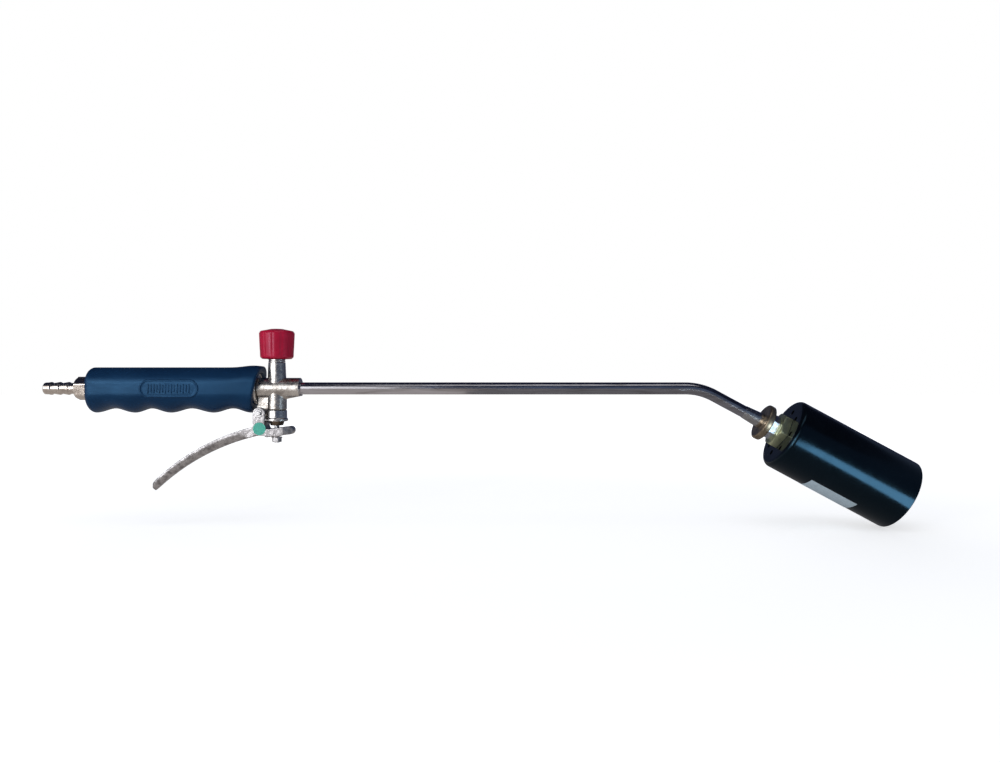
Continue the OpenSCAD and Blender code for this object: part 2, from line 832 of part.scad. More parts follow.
module lever() {
    color([0.82, 0.8, 0.78]) at_valve() difference() {
        intersection() {
            union() {
                side_plate(lever_w / 2) arm_outline();
                cheek_plate();
                hub_plate();
                fillet_plate();
            }
            translate([0, 0, pivot_z - 2 * lever_reach])
                linear_extrude(height = 2 * lever_reach + cheek_r + 1) plan_outline();
        }
        translate([pivot_x - 2 * cheek_r, -fork_half_w, pivot_z - fork_floor])
            cube([4 * cheek_r, 2 * fork_half_w, fork_floor + 2 * cheek_r]);
        translate([pivot_x, 0, pivot_z]) rotate([90, 0, 0])
            cylinder(r = pin_r + run_gap, h = 2 * lever_w, center = true, $fn = bore_fn);
        z_bar(slot_half_w, hub_low_z - 1, hub_low_z + 3 * bar_r);
        translate([0, -slot_half_w, hub_low_z - 1])
            cube([slot_ahead, 2 * slot_half_w, 3 * bar_r + 1]);
        translate([slot_ahead, 0, 0])
            z_bar(slot_half_w, hub_low_z - 1, hub_low_z + 3 * bar_r);
    }
}

module lever_pin() {
    far_y = lever_w / 2 + swing_gap;
    color([0.6, 0.6, 0.6]) at_valve() translate([pivot_x, 0, pivot_z]) rotate([90, 0, 0]) {
        translate([0, 0, -far_y]) cylinder(r = pin_r, h = far_y + pin_end, $fn = bore_fn);
        translate([0, 0, -far_y - pin_head_t])
            cylinder(r1 = pin_head_r - 0.5, r2 = pin_head_r, h = pin_head_t);
    }
}

module pin_clip() {
    clip_y = -lever_w / 2 - swing_gap;
    color([0.5, 0.5, 0.5]) at_valve() translate([pivot_x, clip_y, pivot_z])
        rotate([90, 0, 0]) difference() {
            cylinder(r = clip_r, h = clip_t);
            translate([0, 0, -1]) cylinder(r = pin_r, h = clip_t + 2, $fn = bore_fn);
        }
}

module stem_washer() {
    color([0.75, 0.75, 0.75]) at_valve() z_ring(washer_r, stem_r, washer_z - washer_t, washer_z);
}

module stem_nut() {
    corner_r = stem_nut_af / sqrt(3);
    top_z = washer_z - washer_t;
    low_z = top_z - stem_nut_t;
    color([0.72, 0.72, 0.72]) at_valve() difference() {
        intersection() {
            translate([0, 0, low_z]) cylinder(r = corner_r, h = stem_nut_t, $fn = 6);
            rotate_extrude() polygon([
                [0, low_z], [stem_nut_af / 2 - 0.4, low_z], [stem_nut_af / 2, low_z + 0.8],
                [corner_r + tiny, low_z + 1.3], [corner_r + tiny, top_z], [0, top_z]
            ]);
        }
        z_bar(stem_r, low_z - 1, top_z + 1);
    }
}

module lever_sticker() {
    color([0.2, 0.7, 0.55]) at_valve()
        translate([sticker_at[0], -lever_w / 2, sticker_at[1]])
            rotate([90, 0, 0]) cylinder(r = sticker_r, h = sticker_t);
}

// ---- Lance ----

// A round bar that follows the lance's bend, from the valve to the burner's neck
module lance_bar(r, end) {
    at_valve() x_bar(r, lance_start_x, bend_x - bend_tangent);
    translate([valve_x + bend_x - bend_tangent, 0, -bend_r])
        rotate([90, 0, 0]) rotate_extrude(angle = -bend_angle, start = 90)
            translate([bend_r, 0]) circle(r = r, $fn = bore_fn);
    at_burner() x_bar(r + bend_step, bend_tangent - bend_lap, end);
}

module lance_tube() {
    end = neck_start + collar_socket_l;
    color([0.75, 0.73, 0.72]) difference() {
        lance_bar(lance_r, end);
        lance_bar(lance_bore_d / 2, end);
    }
}

module tube_ferrule() {
    start = neck_start - ferrule_l;
    color([0.6, 0.58, 0.6]) at_burner() turned_x([
        [ferrule_bore_r, start], [ferrule_start_r, start], [ferrule_end_r, neck_start - 3],
        [ferrule_end_r, neck_start], [ferrule_bore_r, neck_start]
    ]);
}

// ---- Neck ----

module neck_collar() {
    collar_r = collar_d / 2;
    edge = collar_round;
    color([0.42, 0.34, 0.2]) at_burner() difference() {
        turned_x([
            [0, neck_start], [collar_r - edge, neck_start],
            [collar_r - edge * 0.3, neck_start + edge * 0.3], [collar_r, neck_start + edge],
            [collar_r, collar_end - edge], [collar_r - edge * 0.3, collar_end - edge * 0.3],
            [collar_r - edge, collar_end], [spigot_r, collar_end],
            [spigot_r, collar_end + spigot_l], [0, collar_end + spigot_l]
        ]);
        x_bar(ferrule_bore_r, neck_start - 1, neck_start + collar_socket_l);
        x_bar(jet_passage_r, neck_start, collar_end + spigot_l);
        x_bar(jet_r, collar_end + jet_seat_l, collar_end + spigot_l + 1);
    }
}

module injector_jet() {
    start = collar_end + jet_seat_l;
    head = collar_end + spigot_l;
    color([0.8, 0.64, 0.3]) at_burner() difference() {
        union() {
            x_bar(jet_r, start, head + tiny);
            hex_x(jet_head_r * sqrt(3), head, head + jet_head_t, 0, 0.5);
        }
        x_bar(jet_hole_r * 3, start - 1, head);
        x_bar(jet_hole_r, start, head + jet_head_t + 1);
    }
}

module mixer_body() {
    color([0.82, 0.84, 0.86]) at_burner() difference() {
        union() {
            rotate([mixer_turn, 0, 0]) hex_x(mixer_af, collar_end, nut_start, 0.8, 0.8);
            x_bar(shank_d / 2, nut_start - 1, shank_end);
        }
        x_bar(spigot_r + thread_gap, collar_end - 1, collar_end + spigot_l);
        x_bar(throat_r, collar_end, shank_end + 1);
    }
}

module lock_nut() {
    color([0.5, 0.52, 0.3]) at_burner() difference() {
        rotate([nut_turn, 0, 0]) hex_x(nut_af, nut_start, bell_back, 2.4, 0.6);
        x_bar(shank_d / 2, nut_start - 1, bell_back + 1);
    }
}

// ---- Burner ----

module burner_bell() {
    inner_r = bell_r - bell_wall;
    shoulder = bell_back + bell_shoulder_r;
    inner_shoulder_r = bell_shoulder_r - bell_wall;
    color([0.03, 0.03, 0.035]) at_burner() difference() {
        union() {
            x_bar(bell_r, shoulder, bell_mouth);
            x_bar(bell_r - bell_shoulder_r, bell_back, shoulder + tiny);
            rotate([0, 90, 0]) rotate_extrude() translate([bell_r - bell_shoulder_r, shoulder])
                intersection() {
                    circle(r = bell_shoulder_r);
                    translate([0, -bell_shoulder_r])
                        square([bell_shoulder_r, bell_shoulder_r + tiny]);
                }
        }
        x_bar(inner_r, shoulder, bell_mouth + 1);
        x_bar(bell_r - bell_shoulder_r, bell_back + bell_wall, shoulder + tiny);
        rotate([0, 90, 0]) rotate_extrude() translate([bell_r - bell_shoulder_r, shoulder])
            intersection() {
                circle(r = inner_shoulder_r);
                translate([0, -inner_shoulder_r])
                    square([inner_shoulder_r, inner_shoulder_r + tiny]);
            }
        x_bar(shank_d / 2 + turn_gap, bell_back - 1, backing_start + 1);
        for (i = [0 : air_holes - 1])
            rotate([i * 360 / air_holes, 0, 0]) translate([0, 0, air_ring_r])
                x_bar(air_hole_d / 2, bell_back - 1, bell_back + bell_wall + 1);
    }
}

module backing_washer() {
    color([0.55, 0.55, 0.52]) at_burner()
        x_ring(backing_r, shank_d / 2 + turn_gap, backing_start, base_start);
}

module burner_tube() {
    base_end = base_start + base_l;
    color([0.6, 0.5, 0.3]) at_burner() difference() {
        union() {
            hex_x(base_r * sqrt(3), base_start, base_end, 0, 1);
            x_bar(burner_tube_d / 2, base_end - 1, burner_end);
        }
        x_bar(shank_d / 2, base_start - 1, base_end - 0.4);
        x_bar(burner_bore_r, base_start, burner_end + 1);
    }
}

module flame_holder() {
    ring_r = (flame_holder_d / 2 + burner_tube_d / 2) / 2;
    color([0.5, 0.48, 0.45]) at_burner() difference() {
        x_bar(flame_holder_d / 2, holder_start, holder_start + holder_t);
        x_bar(burner_tube_d / 2, holder_start - 1, holder_start + holder_t + 1);
        for (i = [0 : holder_holes - 1])
            rotate([i * 360 / holder_holes, 0, 0]) translate([0, 0, ring_r])
                x_bar(holder_hole_d / 2, holder_start - 1, holder_start + holder_t + 1);
    }
}

module bell_label() {
    start = bell_back + label_start;
    turn = label_w / bell_r * 180 / PI;
    color([0.75, 0.82, 0.86]) at_burner() rotate([0, 90, 0])
        rotate_extrude(angle = turn, start = -90 + label_low)
            translate([bell_r, start]) square([label_t, label_l]);
}

hose_tail();
tail_seal();
inlet_tube();
handle_grip();
handle_flange();
valve_body();
gland_nut();
spindle_packing();
packing_washer();
regulator_spindle();
control_knob();
knob_screw();
poppet();
poppet_seal();
valve_stem();
return_spring();
bonnet();
bonnet_gasket();
stem_o_ring();
gland_bush();
lever();
lever_pin();
pin_clip();
stem_washer();
stem_nut();
lever_sticker();
lance_tube();
tube_ferrule();
neck_collar();
injector_jet();
mixer_body();
lock_nut();
burner_bell();
backing_washer();
burner_tube();
flame_holder();
bell_label();
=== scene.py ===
import math
import bpy
import bmesh
from mathutils import Matrix, Vector, noise


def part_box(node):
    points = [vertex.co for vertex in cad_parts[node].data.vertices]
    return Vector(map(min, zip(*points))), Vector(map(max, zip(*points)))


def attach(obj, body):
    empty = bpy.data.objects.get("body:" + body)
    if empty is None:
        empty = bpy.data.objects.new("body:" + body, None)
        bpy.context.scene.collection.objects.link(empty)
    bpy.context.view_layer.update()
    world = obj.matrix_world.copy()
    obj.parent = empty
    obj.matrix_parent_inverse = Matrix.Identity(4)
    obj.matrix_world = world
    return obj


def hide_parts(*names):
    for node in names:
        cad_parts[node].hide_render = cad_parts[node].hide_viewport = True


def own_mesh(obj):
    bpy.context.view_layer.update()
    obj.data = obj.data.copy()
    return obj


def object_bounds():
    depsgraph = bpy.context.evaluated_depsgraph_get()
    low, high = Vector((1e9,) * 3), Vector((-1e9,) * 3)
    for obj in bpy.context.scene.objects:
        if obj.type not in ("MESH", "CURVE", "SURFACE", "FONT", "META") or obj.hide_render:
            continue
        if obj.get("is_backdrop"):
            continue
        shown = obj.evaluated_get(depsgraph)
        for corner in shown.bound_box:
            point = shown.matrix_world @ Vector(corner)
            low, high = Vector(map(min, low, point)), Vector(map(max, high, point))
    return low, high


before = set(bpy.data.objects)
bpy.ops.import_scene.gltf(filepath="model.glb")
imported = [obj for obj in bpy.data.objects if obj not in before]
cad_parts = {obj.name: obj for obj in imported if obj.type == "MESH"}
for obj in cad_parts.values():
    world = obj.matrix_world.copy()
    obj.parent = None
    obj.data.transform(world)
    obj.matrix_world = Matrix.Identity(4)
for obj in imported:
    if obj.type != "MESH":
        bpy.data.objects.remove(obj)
cad_low, cad_high = (list(p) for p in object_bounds())

# ---- Places, in millimetres, taken from the CAD boxes and the part's own sizes ----

MM = 0.001


def box_mm(node):
    low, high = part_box(node)
    return [v / MM for v in low], [v / MM for v in high]


knob_low, knob_high = box_mm("control_knob")
handle_low, handle_high = box_mm("handle_grip")
flange_low, flange_high = box_mm("handle_flange")
pin_low, pin_high = box_mm("lever_pin")

VALVE_X = (knob_low[0] + knob_high[0]) / 2
PIVOT_X = (pin_low[0] + pin_high[0]) / 2
PIVOT_Z = (pin_low[2] + pin_high[2]) / 2
BEND_TURN = math.radians(28.3)
BEND_X = VALVE_X + 349.4
BEND_R = 50.0

ROW = Matrix.Identity(4)


def frame_matrix(origin, forward, side=(0, 1, 0)):
    """Local X runs along forward, local Y along side."""
    x = Vector(forward).normalized()
    y = Vector(side).normalized()
    z = x.cross(y)
    m = Matrix((x, y, z)).transposed().to_4x4()
    m.translation = Vector(origin)
    return m


UPRIGHT = frame_matrix((VALVE_X, 0, 0), (0, 0, 1))
BURNER = frame_matrix((BEND_X, 0, 0), (math.cos(BEND_TURN), 0, -math.sin(BEND_TURN)))

# ---- Mesh helpers ----


def make(name, verts, faces, material, body="torch", place=ROW, crease=35.0):
    mesh = bpy.data.meshes.new(name)
    mesh.from_pydata([place @ Vector(v) * MM for v in verts], [], faces)
    mesh.validate()
    bm = bmesh.new()
    bm.from_mesh(mesh)
    bmesh.ops.recalc_face_normals(bm, faces=bm.faces)
    bm.to_mesh(mesh)
    bm.free()
    mesh.shade_smooth()
    mesh.set_sharp_from_angle(angle=math.radians(crease))
    obj = bpy.data.objects.new(name, mesh)
    bpy.context.scene.collection.objects.link(obj)
    mesh.materials.append(material)
    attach(obj, body)
    return obj


def rounded(points, closed=False, steps=5):
    """Points are (x, r, radius); each corner with a radius becomes an arc."""
    out = []
    n = len(points)
    for i, (x, y, radius) in enumerate(points):
        here = Vector((x, y))
        if radius <= 0 or (not closed and i in (0, n - 1)):
            out.append((x, y))
            continue
        before = Vector(points[i - 1][:2])
        after = Vector(points[(i + 1) % n][:2])
        a = before - here
        b = after - here
        la, lb = a.length, b.length
        a.normalize()
        b.normalize()
        turn = a.angle(b)
        cut = min(radius / math.tan(turn / 2), la * 0.48, lb * 0.48)
        r = cut * math.tan(turn / 2)
        centre = here + (a + b).normalized() * (r / math.sin(turn / 2))
        start = here + a * cut - centre
        end = here + b * cut - centre
        sweep = start.angle_signed(end)
        for k in range(steps + 1):
            t = -sweep * k / steps
            c, s = math.cos(t), math.sin(t)
            out.append((centre.x + start.x * c - start.y * s, centre.y + start.x * s + start.y * c))
    return out


def join(a, b):
    """Faces between two rings of as many points."""
    n = len(a)
    return [(a[k], a[(k + 1) % n], b[(k + 1) % n], b[k]) for k in range(n)]


def loft(rings, ends=True):
    faces = [face for a, b in zip(rings, rings[1:]) for face in join(a, b)]
    if ends:
        faces += [tuple(rings[0]), tuple(rings[-1])]
    return faces


def revolve(profile, closed, count=96, shape=None):
    """Rings round local X. shape(x, r, angle) may change a radius."""
    verts, rings = [], []
    for x, r in profile:
        if r < 1e-4:
            rings.append([len(verts)])
            verts.append((x, 0, 0))
            continue
        ring = []
        for k in range(count):
            t = 2 * math.pi * k / count
            q = shape(x, r, t) if shape else r
            ring.append(len(verts))
            verts.append((x, q * math.cos(t), q * math.sin(t)))
        rings.append(ring)
    faces = []
    pairs = list(zip(rings, rings[1:]))
    if closed:
        pairs.append((rings[-1], rings[0]))
    for a, b in pairs:
        if len(a) == 1 and len(b) == 1:
            continue
        if len(a) > 1 and len(b) > 1:
            faces += join(a, b)
            continue
        for k in range(count):
            j = (k + 1) % count
            faces.append((a[0], b[j], b[k]) if len(a) == 1 else (a[k], a[j], b[0]))
    return verts, faces


def turned(name, points, material, place, body="torch", closed=True, count=96, steps=5, crease=35.0):
    verts, faces = revolve(rounded(points, closed, steps), closed, count)
    return make(name, verts, faces, material, body, place, crease)


def soft_min(a, b, k):
    h = max(k - abs(a - b), 0) / k
    return min(a, b) - h * h * k / 4


def soft_max(a, b, k):
    return -soft_min(-a, -b, k)


def hexagon(name, flats, x0, x1, cut0, cut1, bore, turn, material, place,
            body="torch", edge=0.5, count=144):
    """A hexagon along local X; cut0 and cut1 are how far its corners are turned down at each end."""
    half = flats / 2
    corner = flats / math.sqrt(3)
    length = x1 - x0

    def skin(x, t):
        a = (t - turn + math.pi / 6) % (math.pi / 3) - math.pi / 6
        r = half / math.cos(a)
        r = corner - soft_max(corner - r, 0.0, 0.35) if corner - r < 0.35 else r
        if cut0:
            r = soft_min(r, corner - cut0 + (x - x0) * 2.0, 0.25)
        if cut1:
            r = soft_min(r, corner - cut1 + (x1 - x) * 2.0, 0.25)
        return r

    stations = []
    edge = min(edge, length / 4)
    fine = 10
    for k in range(fine + 1):
        a = math.pi / 2 * k / fine
        stations.append((x0 + edge * (1 - math.cos(a)), edge * (1 - math.sin(a))))
    middle = 14
    for k in range(1, middle):
        stations.append((x0 + edge + (length - 2 * edge) * k / middle, 0.0))
    for k in range(fine + 1):
        a = math.pi / 2 * (1 - k / fine)
        stations.append((x1 - edge * (1 - math.cos(a)), edge * (1 - math.sin(a))))
    verts, rings = [], []

    def ring(x, radius_of):
        ids = []
        for k in range(count):
            t = 2 * math.pi * k / count
            r = radius_of(t)
            ids.append(len(verts))
            verts.append((x, r * math.cos(t), r * math.sin(t)))
        rings.append(ids)

    ring(x0, lambda t: bore + 0.3)
    for x, inset in stations:
        ring(x, lambda t, x=x, inset=inset: skin(x, t) - inset)
    ring(x1, lambda t: bore + 0.3)
    ring(x1 - 0.3, lambda t: bore)
    ring(x0 + 0.3, lambda t: bore)
    faces = loft(rings + rings[:1], ends=False)
    return make(name, verts, faces, material, body, place, 40.0)


def tube_along(points, radius, count=56):
    """A round tube with flat ends along points in one vertical plane."""
    verts, rings = [], []
    for i, p in enumerate(points):
        before = points[max(i - 1, 0)]
        after = points[min(i + 1, len(points) - 1)]
        along = (after - before).normalized()
        side = Vector((0, 1, 0))
        up = along.cross(side)
        ring = []
        for k in range(count):
            t = 2 * math.pi * k / count
            ring.append(len(verts))
            verts.append(tuple(p + side * radius * math.cos(t) + up * radius * math.sin(t)))
        rings.append(ring)
    return verts, loft(rings)


def cast_copy(name, node, voxel, smoothing, material, body):
    """The CAD node's shape with the soft edges of a casting."""
    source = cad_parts[node]
    mesh = source.data.copy()
    mesh.name = name
    mesh.materials.clear()
    obj = bpy.data.objects.new(name, mesh)
    obj.matrix_world = source.matrix_world.copy()
    bpy.context.scene.collection.objects.link(obj)
    bm = bmesh.new()
    bm.from_mesh(mesh)
    bmesh.ops.remove_doubles(bm, verts=bm.verts, dist=2e-6)
    bm.to_mesh(mesh)
    bm.free()
    if voxel:
        remesh = obj.modifiers.new("Remesh", "REMESH")
        remesh.mode = "VOXEL"
        remesh.voxel_size = voxel * MM
        soften = obj.modifiers.new("Smooth", "SMOOTH")
        soften.factor = 0.5
        soften.iterations = smoothing
    evaluated = obj.evaluated_get(bpy.context.evaluated_depsgraph_get())
    result = bpy.data.meshes.new_from_object(evaluated)
    obj.modifiers.clear()
    obj.data = result
    result.name = name
    result.materials.clear()
    result.materials.append(material)
    result.shade_smooth()
    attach(obj, body)
    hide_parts(node)
    return obj


# ---- Materials ----


class Paint:
    """Builds one procedural material, node by node."""

    def __init__(self, name):
        self.material = bpy.data.materials.new(name)
        self.material.use_nodes = True
        self.tree = self.material.node_tree
        self.nodes = self.tree.nodes
        self.shader = self.nodes["Principled BSDF"]
        self.where = self.nodes.new("ShaderNodeTexCoord").outputs["Object"]

    def link(self, source, target):
        self.tree.links.new(source, target)

    def put(self, **values):
        for key, value in values.items():
            self.shader.inputs[key.replace("_", " ")].default_value = value

    def mapped(self, scale):
        node = self.nodes.new("ShaderNodeMapping")
        node.inputs["Scale"].default_value = scale
        self.link(self.where, node.inputs["Vector"])
        return node.outputs["Vector"]

    def noise(self, scale, detail=4.0, rough=0.55, vector=None, twist=0.0):
        node = self.nodes.new("ShaderNodeTexNoise")
        node.inputs["Scale"].default_value = scale
        node.inputs["Detail"].default_value = detail
        node.inputs["Roughness"].default_value = rough
        node.inputs["Distortion"].default_value = twist
        self.link(vector or self.where, node.inputs["Vector"])
        return node.outputs["Fac"]

    def ramp(self, source, stops):
        node = self.nodes.new("ShaderNodeValToRGB")
        ramp = node.color_ramp
        while len(ramp.elements) < len(stops):
            ramp.elements.new(0.5)
        for element, (at, colour) in zip(ramp.elements, stops):
            element.position = at
            element.color = (*colour, 1.0)
        self.link(source, node.inputs["Fac"])
        return node.outputs["Color"]

    def span(self, source, low, high, from_low=0.0, from_high=1.0):
        node = self.nodes.new("ShaderNodeMapRange")
        node.inputs["From Min"].default_value = from_low
        node.inputs["From Max"].default_value = from_high
        node.inputs["To Min"].default_value = low
        node.inputs["To Max"].default_value = high
        self.link(source, node.inputs["Value"])
        return node.outputs["Result"]

    def math(self, kind, a, b):
        node = self.nodes.new("ShaderNodeMath")
        node.operation = kind
        for socket, value in zip(node.inputs, (a, b)):
            if isinstance(value, (int, float)):
                socket.default_value = value
            else:
                self.link(value, socket)
        return node.outputs[0]

    def mix(self, amount, a, b):
        node = self.nodes.new("ShaderNodeMix")
        node.data_type = "RGBA"
        for key, value in (("Factor", amount), ("A", a), ("B", b)):
            sockets = [s for s in node.inputs if s.name == key and s.enabled]
            socket = sockets[0]
            if isinstance(value, (int, float)):
                socket.default_value = value
            elif isinstance(value, tuple):
                socket.default_value = (*value, 1.0)
            else:
                self.link(value, socket)
        return [s for s in node.outputs if s.enabled][0]

    def edges(self, low=0.5, high=0.62):
        node = self.nodes.new("ShaderNodeNewGeometry")
        return self.span(node.outputs["Pointiness"], 0.0, 1.0, low, high)

    def bump(self, height, strength, distance, under=None):
        node = self.nodes.new("ShaderNodeBump")
        node.inputs["Strength"].default_value = strength
        node.inputs["Distance"].default_value = distance
        self.link(height, node.inputs["Height"])
        if under is not None:
            self.link(under, node.inputs["Normal"])
        return node.outputs["Normal"]

    def colour(self, source):
        self.link(source, self.shader.inputs["Base Color"])

    def rough(self, source):
        self.link(source, self.shader.inputs["Roughness"])

    def normal(self, source):
        self.link(source, self.shader.inputs["Normal"])


def metal(name, light, dark, rough_low, rough_high, scale=120.0, uneven=0.25, fine=0.08, specks=0.0):
    """Bare or plated metal: cloudy colour, roughness that varies, cast or polished unevenness."""
    p = Paint(name)
    p.put(Metallic=1.0)
    clouds = p.noise(scale, 6.0, 0.6, twist=0.4)
    base = p.ramp(clouds, [(0.32, dark), (0.58, light)])
    if specks:
        pits = p.noise(scale * 9, 3.0, 0.7)
        spots = p.span(pits, 1.0, 0.0, 0.36, 0.44)
        base = p.mix(p.math("MULTIPLY", spots, specks), base, tuple(v * 0.3 for v in dark))
    p.colour(base)
    p.rough(p.span(p.noise(scale * 2.4, 5.0, 0.65), rough_low, rough_high, 0.3, 0.7))
    big = p.bump(p.noise(scale * 1.6, 3.0, 0.5), uneven, 0.0004)
    p.normal(p.bump(p.noise(scale * 16, 4.0, 0.6), fine, 0.0001, big))
    return p.material


def chrome_material():
    p = Paint("chrome_plate")
    p.put(Metallic=1.0)
    along = p.mapped((22.0, 260.0, 260.0))
    stains = p.noise(1.0, 6.0, 0.6, along, 0.6)
    tones = [(0.30, (0.36, 0.34, 0.35)), (0.55, (0.60, 0.59, 0.63)), (0.8, (0.70, 0.69, 0.76))]
    p.colour(p.ramp(stains, tones))
    scuffs = p.noise(1.0, 8.0, 0.7, p.mapped((60.0, 900.0, 900.0)))
    p.rough(p.span(scuffs, 0.10, 0.26, 0.35, 0.75))
    wave = p.bump(p.noise(1.0, 3.0, 0.5, p.mapped((30.0, 110.0, 110.0))), 0.25, 0.0006)
    p.normal(p.bump(scuffs, 0.06, 0.0001, wave))
    return p.material


def blue_plastic():
    p = Paint("handle_plastic")
    p.put(IOR=1.5, Specular_IOR_Level=0.5, Specular_Tint=(0.20, 0.55, 1.0, 1.0))
    patches = p.noise(26.0, 5.0, 0.55, twist=0.5)
    base = p.ramp(patches, [(0.30, (0.003, 0.018, 0.056)), (0.70, (0.0055, 0.030, 0.084))])
    worn = p.edges(0.53, 0.60)
    breakup = p.span(p.noise(340.0, 4.0, 0.7), 0.0, 1.0, 0.46, 0.62)
    base = p.mix(p.math("MULTIPLY", p.math("MULTIPLY", worn, breakup), 0.5), base, (0.035, 0.09, 0.17))
    p.colour(base)
    smear = p.noise(1.0, 6.0, 0.65, p.mapped((30.0, 120.0, 190.0)))
    p.rough(p.span(smear, 0.30, 0.46, 0.3, 0.7))
    grain = p.bump(p.noise(2600.0, 2.0, 0.5), 0.16, 0.00006)
    p.normal(p.bump(p.noise(70.0, 3.0, 0.5), 0.12, 0.0005, grain))
    return p.material


def red_plastic():
    p = Paint("knob_plastic")
    p.put(IOR=1.5, Specular_Tint=(1.0, 0.62, 0.85, 1.0))
    clouds = p.noise(70.0, 5.0, 0.55, twist=0.5)
    base = p.ramp(clouds, [(0.30, (0.44, 0.004, 0.030)), (0.70, (0.60, 0.008, 0.048))])
    dust = p.span(p.noise(900.0, 4.0, 0.7), 0.0, 0.12, 0.6, 0.8)
    p.colour(p.mix(dust, base, (0.56, 0.10, 0.16)))
    p.rough(p.span(p.noise(200.0, 6.0, 0.65), 0.26, 0.38, 0.3, 0.7))
    p.normal(p.bump(p.noise(300.0, 3.0, 0.5), 0.05, 0.0002))
    return p.material


def black_paint():
    p = Paint("bell_paint")
    p.put(IOR=1.5, Specular_IOR_Level=0.5, Specular_Tint=(0.30, 0.68, 1.0, 1.0))
    clouds = p.noise(34.0, 6.0, 0.6, twist=0.6)
    base = p.ramp(clouds, [(0.3, (0.0012, 0.0018, 0.0024)), (0.75, (0.003, 0.0042, 0.006))])
    worn = p.math("MULTIPLY", p.edges(0.54, 0.62), p.span(p.noise(500.0, 4.0, 0.7), 0.0, 1.0, 0.48, 0.66))
    base = p.mix(p.math("MULTIPLY", worn, 0.4), base, (0.06, 0.045, 0.03))
    dust = p.span(p.noise(1300.0, 3.0, 0.7), 0.0, 0.3, 0.66, 0.8)
    p.colour(p.mix(dust, base, (0.03, 0.036, 0.042)))
    p.rough(p.span(p.noise(90.0, 7.0, 0.7), 0.14, 0.24, 0.3, 0.7))
    peel = p.bump(p.noise(650.0, 2.0, 0.45), 0.06, 0.00012)
    p.normal(p.bump(p.noise(26.0, 3.0, 0.5), 0.05, 0.0006, peel))
    return p.material


def paper_label():
    p = Paint("label_paper")
    fibres = p.noise(1.0, 6.0, 0.7, p.mapped((900.0, 260.0, 260.0)))
    base = p.ramp(fibres, [(0.3, (0.55, 0.67, 0.74)), (0.7, (0.66, 0.77, 0.82))])
    grime = p.span(p.noise(120.0, 5.0, 0.6), 0.0, 0.5, 0.5, 0.75)
    p.colour(p.mix(grime, base, (0.46, 0.53, 0.57)))
    p.rough(p.span(p.noise(400.0, 3.0, 0.6), 0.42, 0.62))
    p.normal(p.bump(fibres, 0.12, 0.00008))
    return p.material


def green_sticker():
    p = Paint("sticker_green")
    p.put(IOR=1.46)
    ink = p.noise(520.0, 5.0, 0.65)
    base = p.ramp(ink, [(0.32, (0.06, 0.46, 0.34)), (0.68, (0.11, 0.62, 0.47))])
    p.colour(base)
    p.rough(p.span(p.noise(300.0, 4.0, 0.6), 0.35, 0.55))
    p.normal(p.bump(p.noise(800.0, 3.0, 0.6), 0.12, 0.0001))
    return p.material


def rubber_black():
    p = Paint("seal_rubber")
    base = p.ramp(p.noise(200.0, 4.0, 0.6), [(0.3, (0.010, 0.010, 0.011)), (0.7, (0.024, 0.024, 0.025))])
    p.colour(base)
    p.rough(p.span(p.noise(500.0, 4.0, 0.6), 0.55, 0.8))
    p.normal(p.bump(p.noise(1500.0, 3.0, 0.6), 0.2, 0.0001))
    return p.material


def fibre_red():
    p = Paint("fibre_washer")
    base = p.ramp(p.noise(300.0, 5.0, 0.65), [(0.3, (0.16, 0.035, 0.02)), (0.7, (0.27, 0.06, 0.035))])
    p.colour(base)
    p.rough(p.span(p.noise(700.0, 4.0, 0.6), 0.6, 0.85))
    p.normal(p.bump(p.noise(1400.0, 3.0, 0.6), 0.25, 0.0001))
    return p.material


cast_nickel = metal("nickel_casting", (0.76, 0.725, 0.69), (0.42, 0.385, 0.36),
                    0.20, 0.38, 190.0, 0.6, 0.16, 0.35)
tail_nickel = metal("tail_nickel", (0.80, 0.735, 0.675), (0.55, 0.48, 0.43),
                    0.16, 0.34, 170.0, 0.25, 0.10, 0.2)
turned_nickel = metal("turned_nickel", (0.80, 0.785, 0.775), (0.58, 0.56, 0.55),
                      0.14, 0.30, 190.0, 0.2, 0.08, 0.1)
lever_metal = metal("lever_casting", (0.56, 0.55, 0.565), (0.24, 0.23, 0.24),
                    0.36, 0.50, 230.0, 0.9, 0.3, 0.6)
plain_steel = metal("plain_steel", (0.66, 0.66, 0.68), (0.42, 0.41, 0.42),
                    0.24, 0.42, 200.0, 0.2, 0.12, 0.2)
brown_brass = metal("brown_brass", (0.52, 0.42, 0.29), (0.26, 0.20, 0.14),
                    0.32, 0.46, 150.0, 0.1, 0.10, 0.2)
# Brass of the gland bush, coloured far darker than the other brass: painted shade for the underside below
# the bonnet
bush_brass_painted_shade = metal("bush_brass_painted_shade", (0.20, 0.15, 0.11), (0.06, 0.045, 0.035),
                   0.3, 0.5, 220.0, 0.3, 0.14, 0.3)
new_brass = metal("new_brass", (0.78, 0.60, 0.30), (0.50, 0.36, 0.16), 0.2, 0.4, 160.0, 0.2, 0.1, 0.1)
zinc_white = metal("zinc_white", (0.80, 0.84, 0.92), (0.55, 0.60, 0.70),
                   0.24, 0.42, 190.0, 0.35, 0.14, 0.15)
zinc_yellow = metal("zinc_yellow", (0.84, 0.88, 0.56), (0.62, 0.66, 0.42),
                    0.36, 0.48, 110.0, 0.1, 0.08, 0.0)
heat_steel = metal("heat_steel", (0.42, 0.38, 0.36), (0.20, 0.17, 0.20), 0.34, 0.58, 90.0, 0.3, 0.2, 0.4)
spring_steel = metal("spring_steel", (0.55, 0.55, 0.58), (0.36, 0.36, 0.38),
                     0.24, 0.4, 200.0, 0.1, 0.08, 0.1)
chrome = chrome_material()
handle_blue = blue_plastic()
knob_red = red_plastic()
bell_black = black_paint()
label_pale = paper_label()
sticker = green_sticker()
rubber = rubber_black()
fibre = fibre_red()

# ---- Hose tail ----

